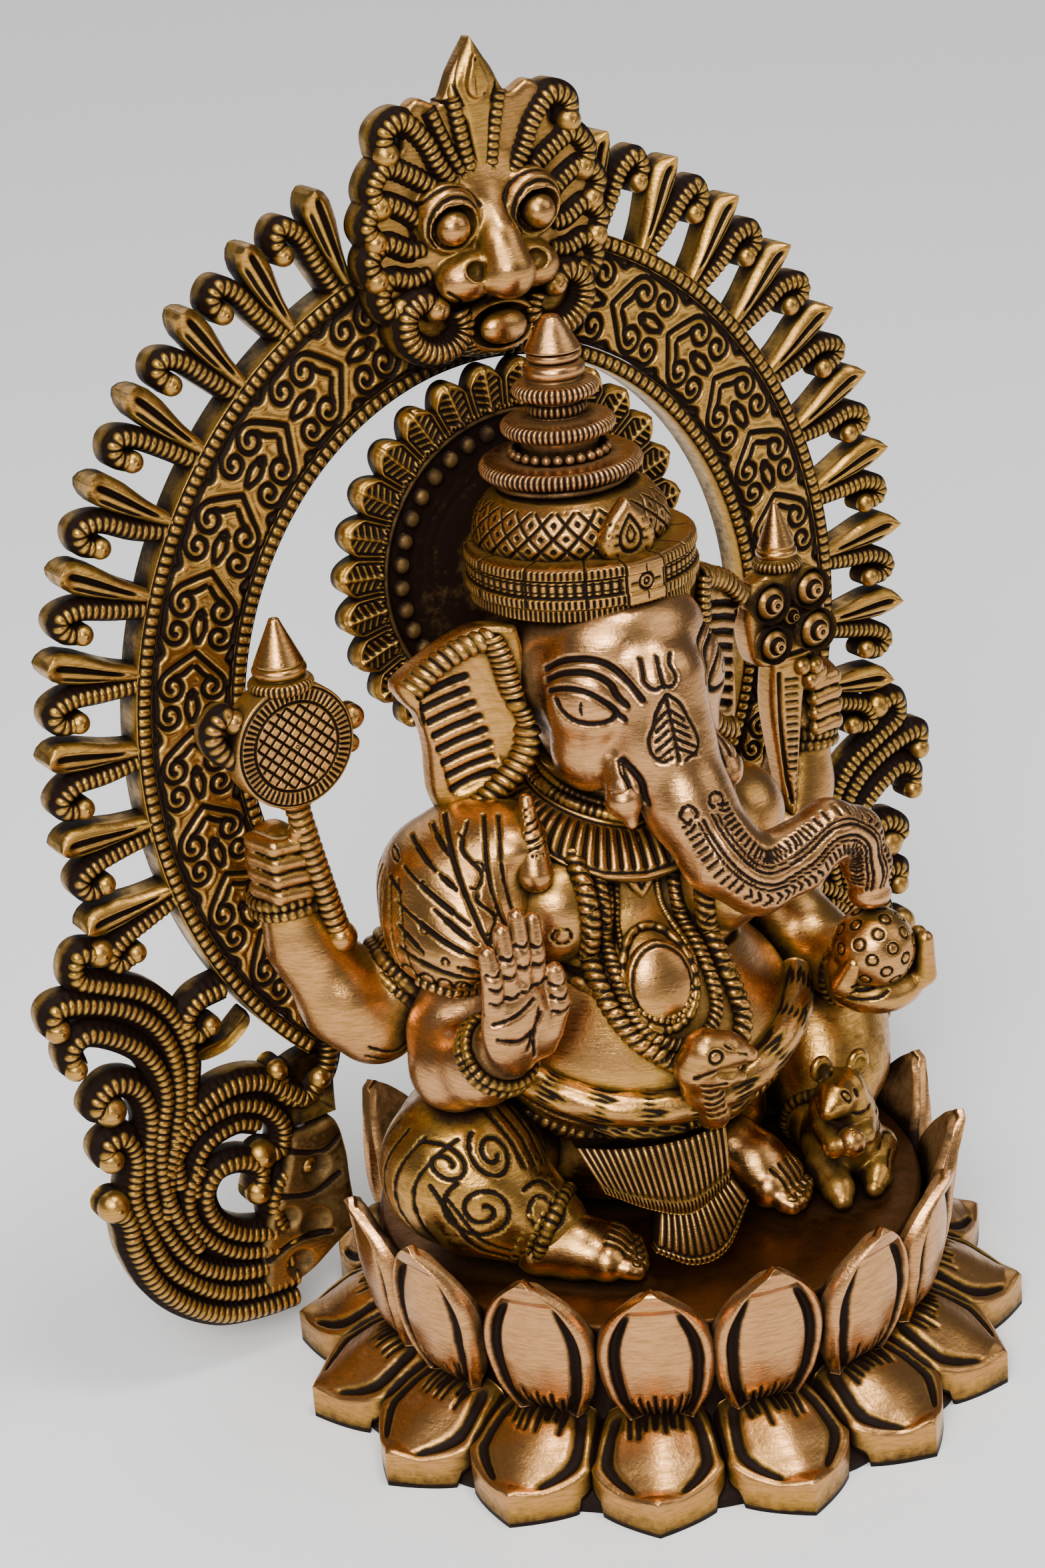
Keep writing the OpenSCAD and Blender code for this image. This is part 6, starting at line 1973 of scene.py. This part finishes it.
# ---- stage, lights and camera ----

def stage():
    size = 6.0
    mesh = bpy.data.meshes.new("floor")
    mesh.from_pydata([(-size, -size, 0), (size, -size, 0), (size, size, 0), (-size, size, 0)], [],
        [(0, 1, 2, 3)])
    floor = bpy.data.objects.new("floor", mesh)
    bpy.context.scene.collection.objects.link(floor)
    mat = bpy.data.materials.new("floor_white")
    mat.use_nodes = True
    bsdf = mat.node_tree.nodes["Principled BSDF"]
    bsdf.inputs["Base Color"].default_value = (0.97, 0.97, 0.97, 1)
    bsdf.inputs["Roughness"].default_value = 0.7
    mesh.materials.append(mat)
    world = bpy.data.worlds.new("studio")
    bpy.context.scene.world = world
    world.use_nodes = True
    world.node_tree.nodes["Background"].inputs[0].default_value = (1, 1, 1, 1)
    world.node_tree.nodes["Background"].inputs[1].default_value = 0.15

    def place(name, light, azimuth, elevation, distance):
        a, e = radians(azimuth), radians(elevation)
        away = Vector((sin(a) * cos(e), -cos(a) * cos(e), sin(e)))
        obj = bpy.data.objects.new(name, light)
        obj.location = Vector((0, 0, 0.15)) + away * distance
        obj.rotation_euler = away.to_track_quat("Z", "Y").to_euler()
        bpy.context.scene.collection.objects.link(obj)

    for name, azimuth, elevation, strength, angle in (("key_sky", -52, 46, 2.2, 44),
            ("fill_sky", 48, 34, 0.6, 40), ("back_sky", 165, 40, 0.7, 60)):
        light = bpy.data.lights.new(name, "SUN")
        light.energy, light.angle = strength, radians(angle)
        place(name, light, azimuth, elevation, 2.0)
    for name, azimuth, elevation, width, power in (("softbox", -38, 30, 0.5, 15),
            ("overhead", 10, 75, 0.4, 12)):
        light = bpy.data.lights.new(name, "AREA")
        light.size, light.energy = width, power
        place(name, light, azimuth, elevation, 1.5)


def camera():
    az, el, roll = radians(-30.292), radians(22.437), radians(-4.784)
    back = Vector((sin(az) * cos(el), -cos(az) * cos(el), sin(el)))
    right = (-back).cross(Vector((0, 0, 1))).normalized()
    up = right.cross(-back)
    r = right * cos(roll) + up * sin(roll)
    u = -right * sin(roll) + up * cos(roll)
    data = bpy.data.cameras.new("camera")
    data.sensor_width = 36.0
    data.lens = 70.92
    data.clip_start = 0.05
    obj = bpy.data.objects.new("camera", data)
    obj.matrix_world = Matrix(((r.x, u.x, back.x, -0.37397), (r.y, u.y, back.y, -0.59228),
        (r.z, u.z, back.z, 0.44535), (0, 0, 0, 1)))
    bpy.context.scene.collection.objects.link(obj)
    bpy.context.scene.camera = obj


lower_petals()
upper_petals()
drum()
seat_plate()
arch_band()
beading("outer_beading", ARCH_A, ARCH_B, 139)
beading("inner_beading", INNER_A, INNER_B, 137)
flames()
side_scrolls()
lugs()
halo()
mask()
crown()
head()
ears()
body = torso()
belt(body)
collar(body)
garland(body)
medallion(body)
shawl()
rear_arms()
front_right_arm()
front_left_arm()
bangles()
goad()
sceptre()
sweet()
legs()
foot("right_foot", (-45, -21, 50.5), (-33, -32, 49), 1.4, 13.5)
foot("left_foot", (12, -22, 58), (17, -33, 51), 2.6, 11.5)
pleats(body)
mouse()
SLOTS = {part["node"]: part["material_slot"] for part in frame["record"]["subparts"]}
for name, obj in frame["nodes"].items():
    obj.data.materials.clear()
    obj.data.materials.append(MATERIALS[SLOTS[name]])
stage()
camera()
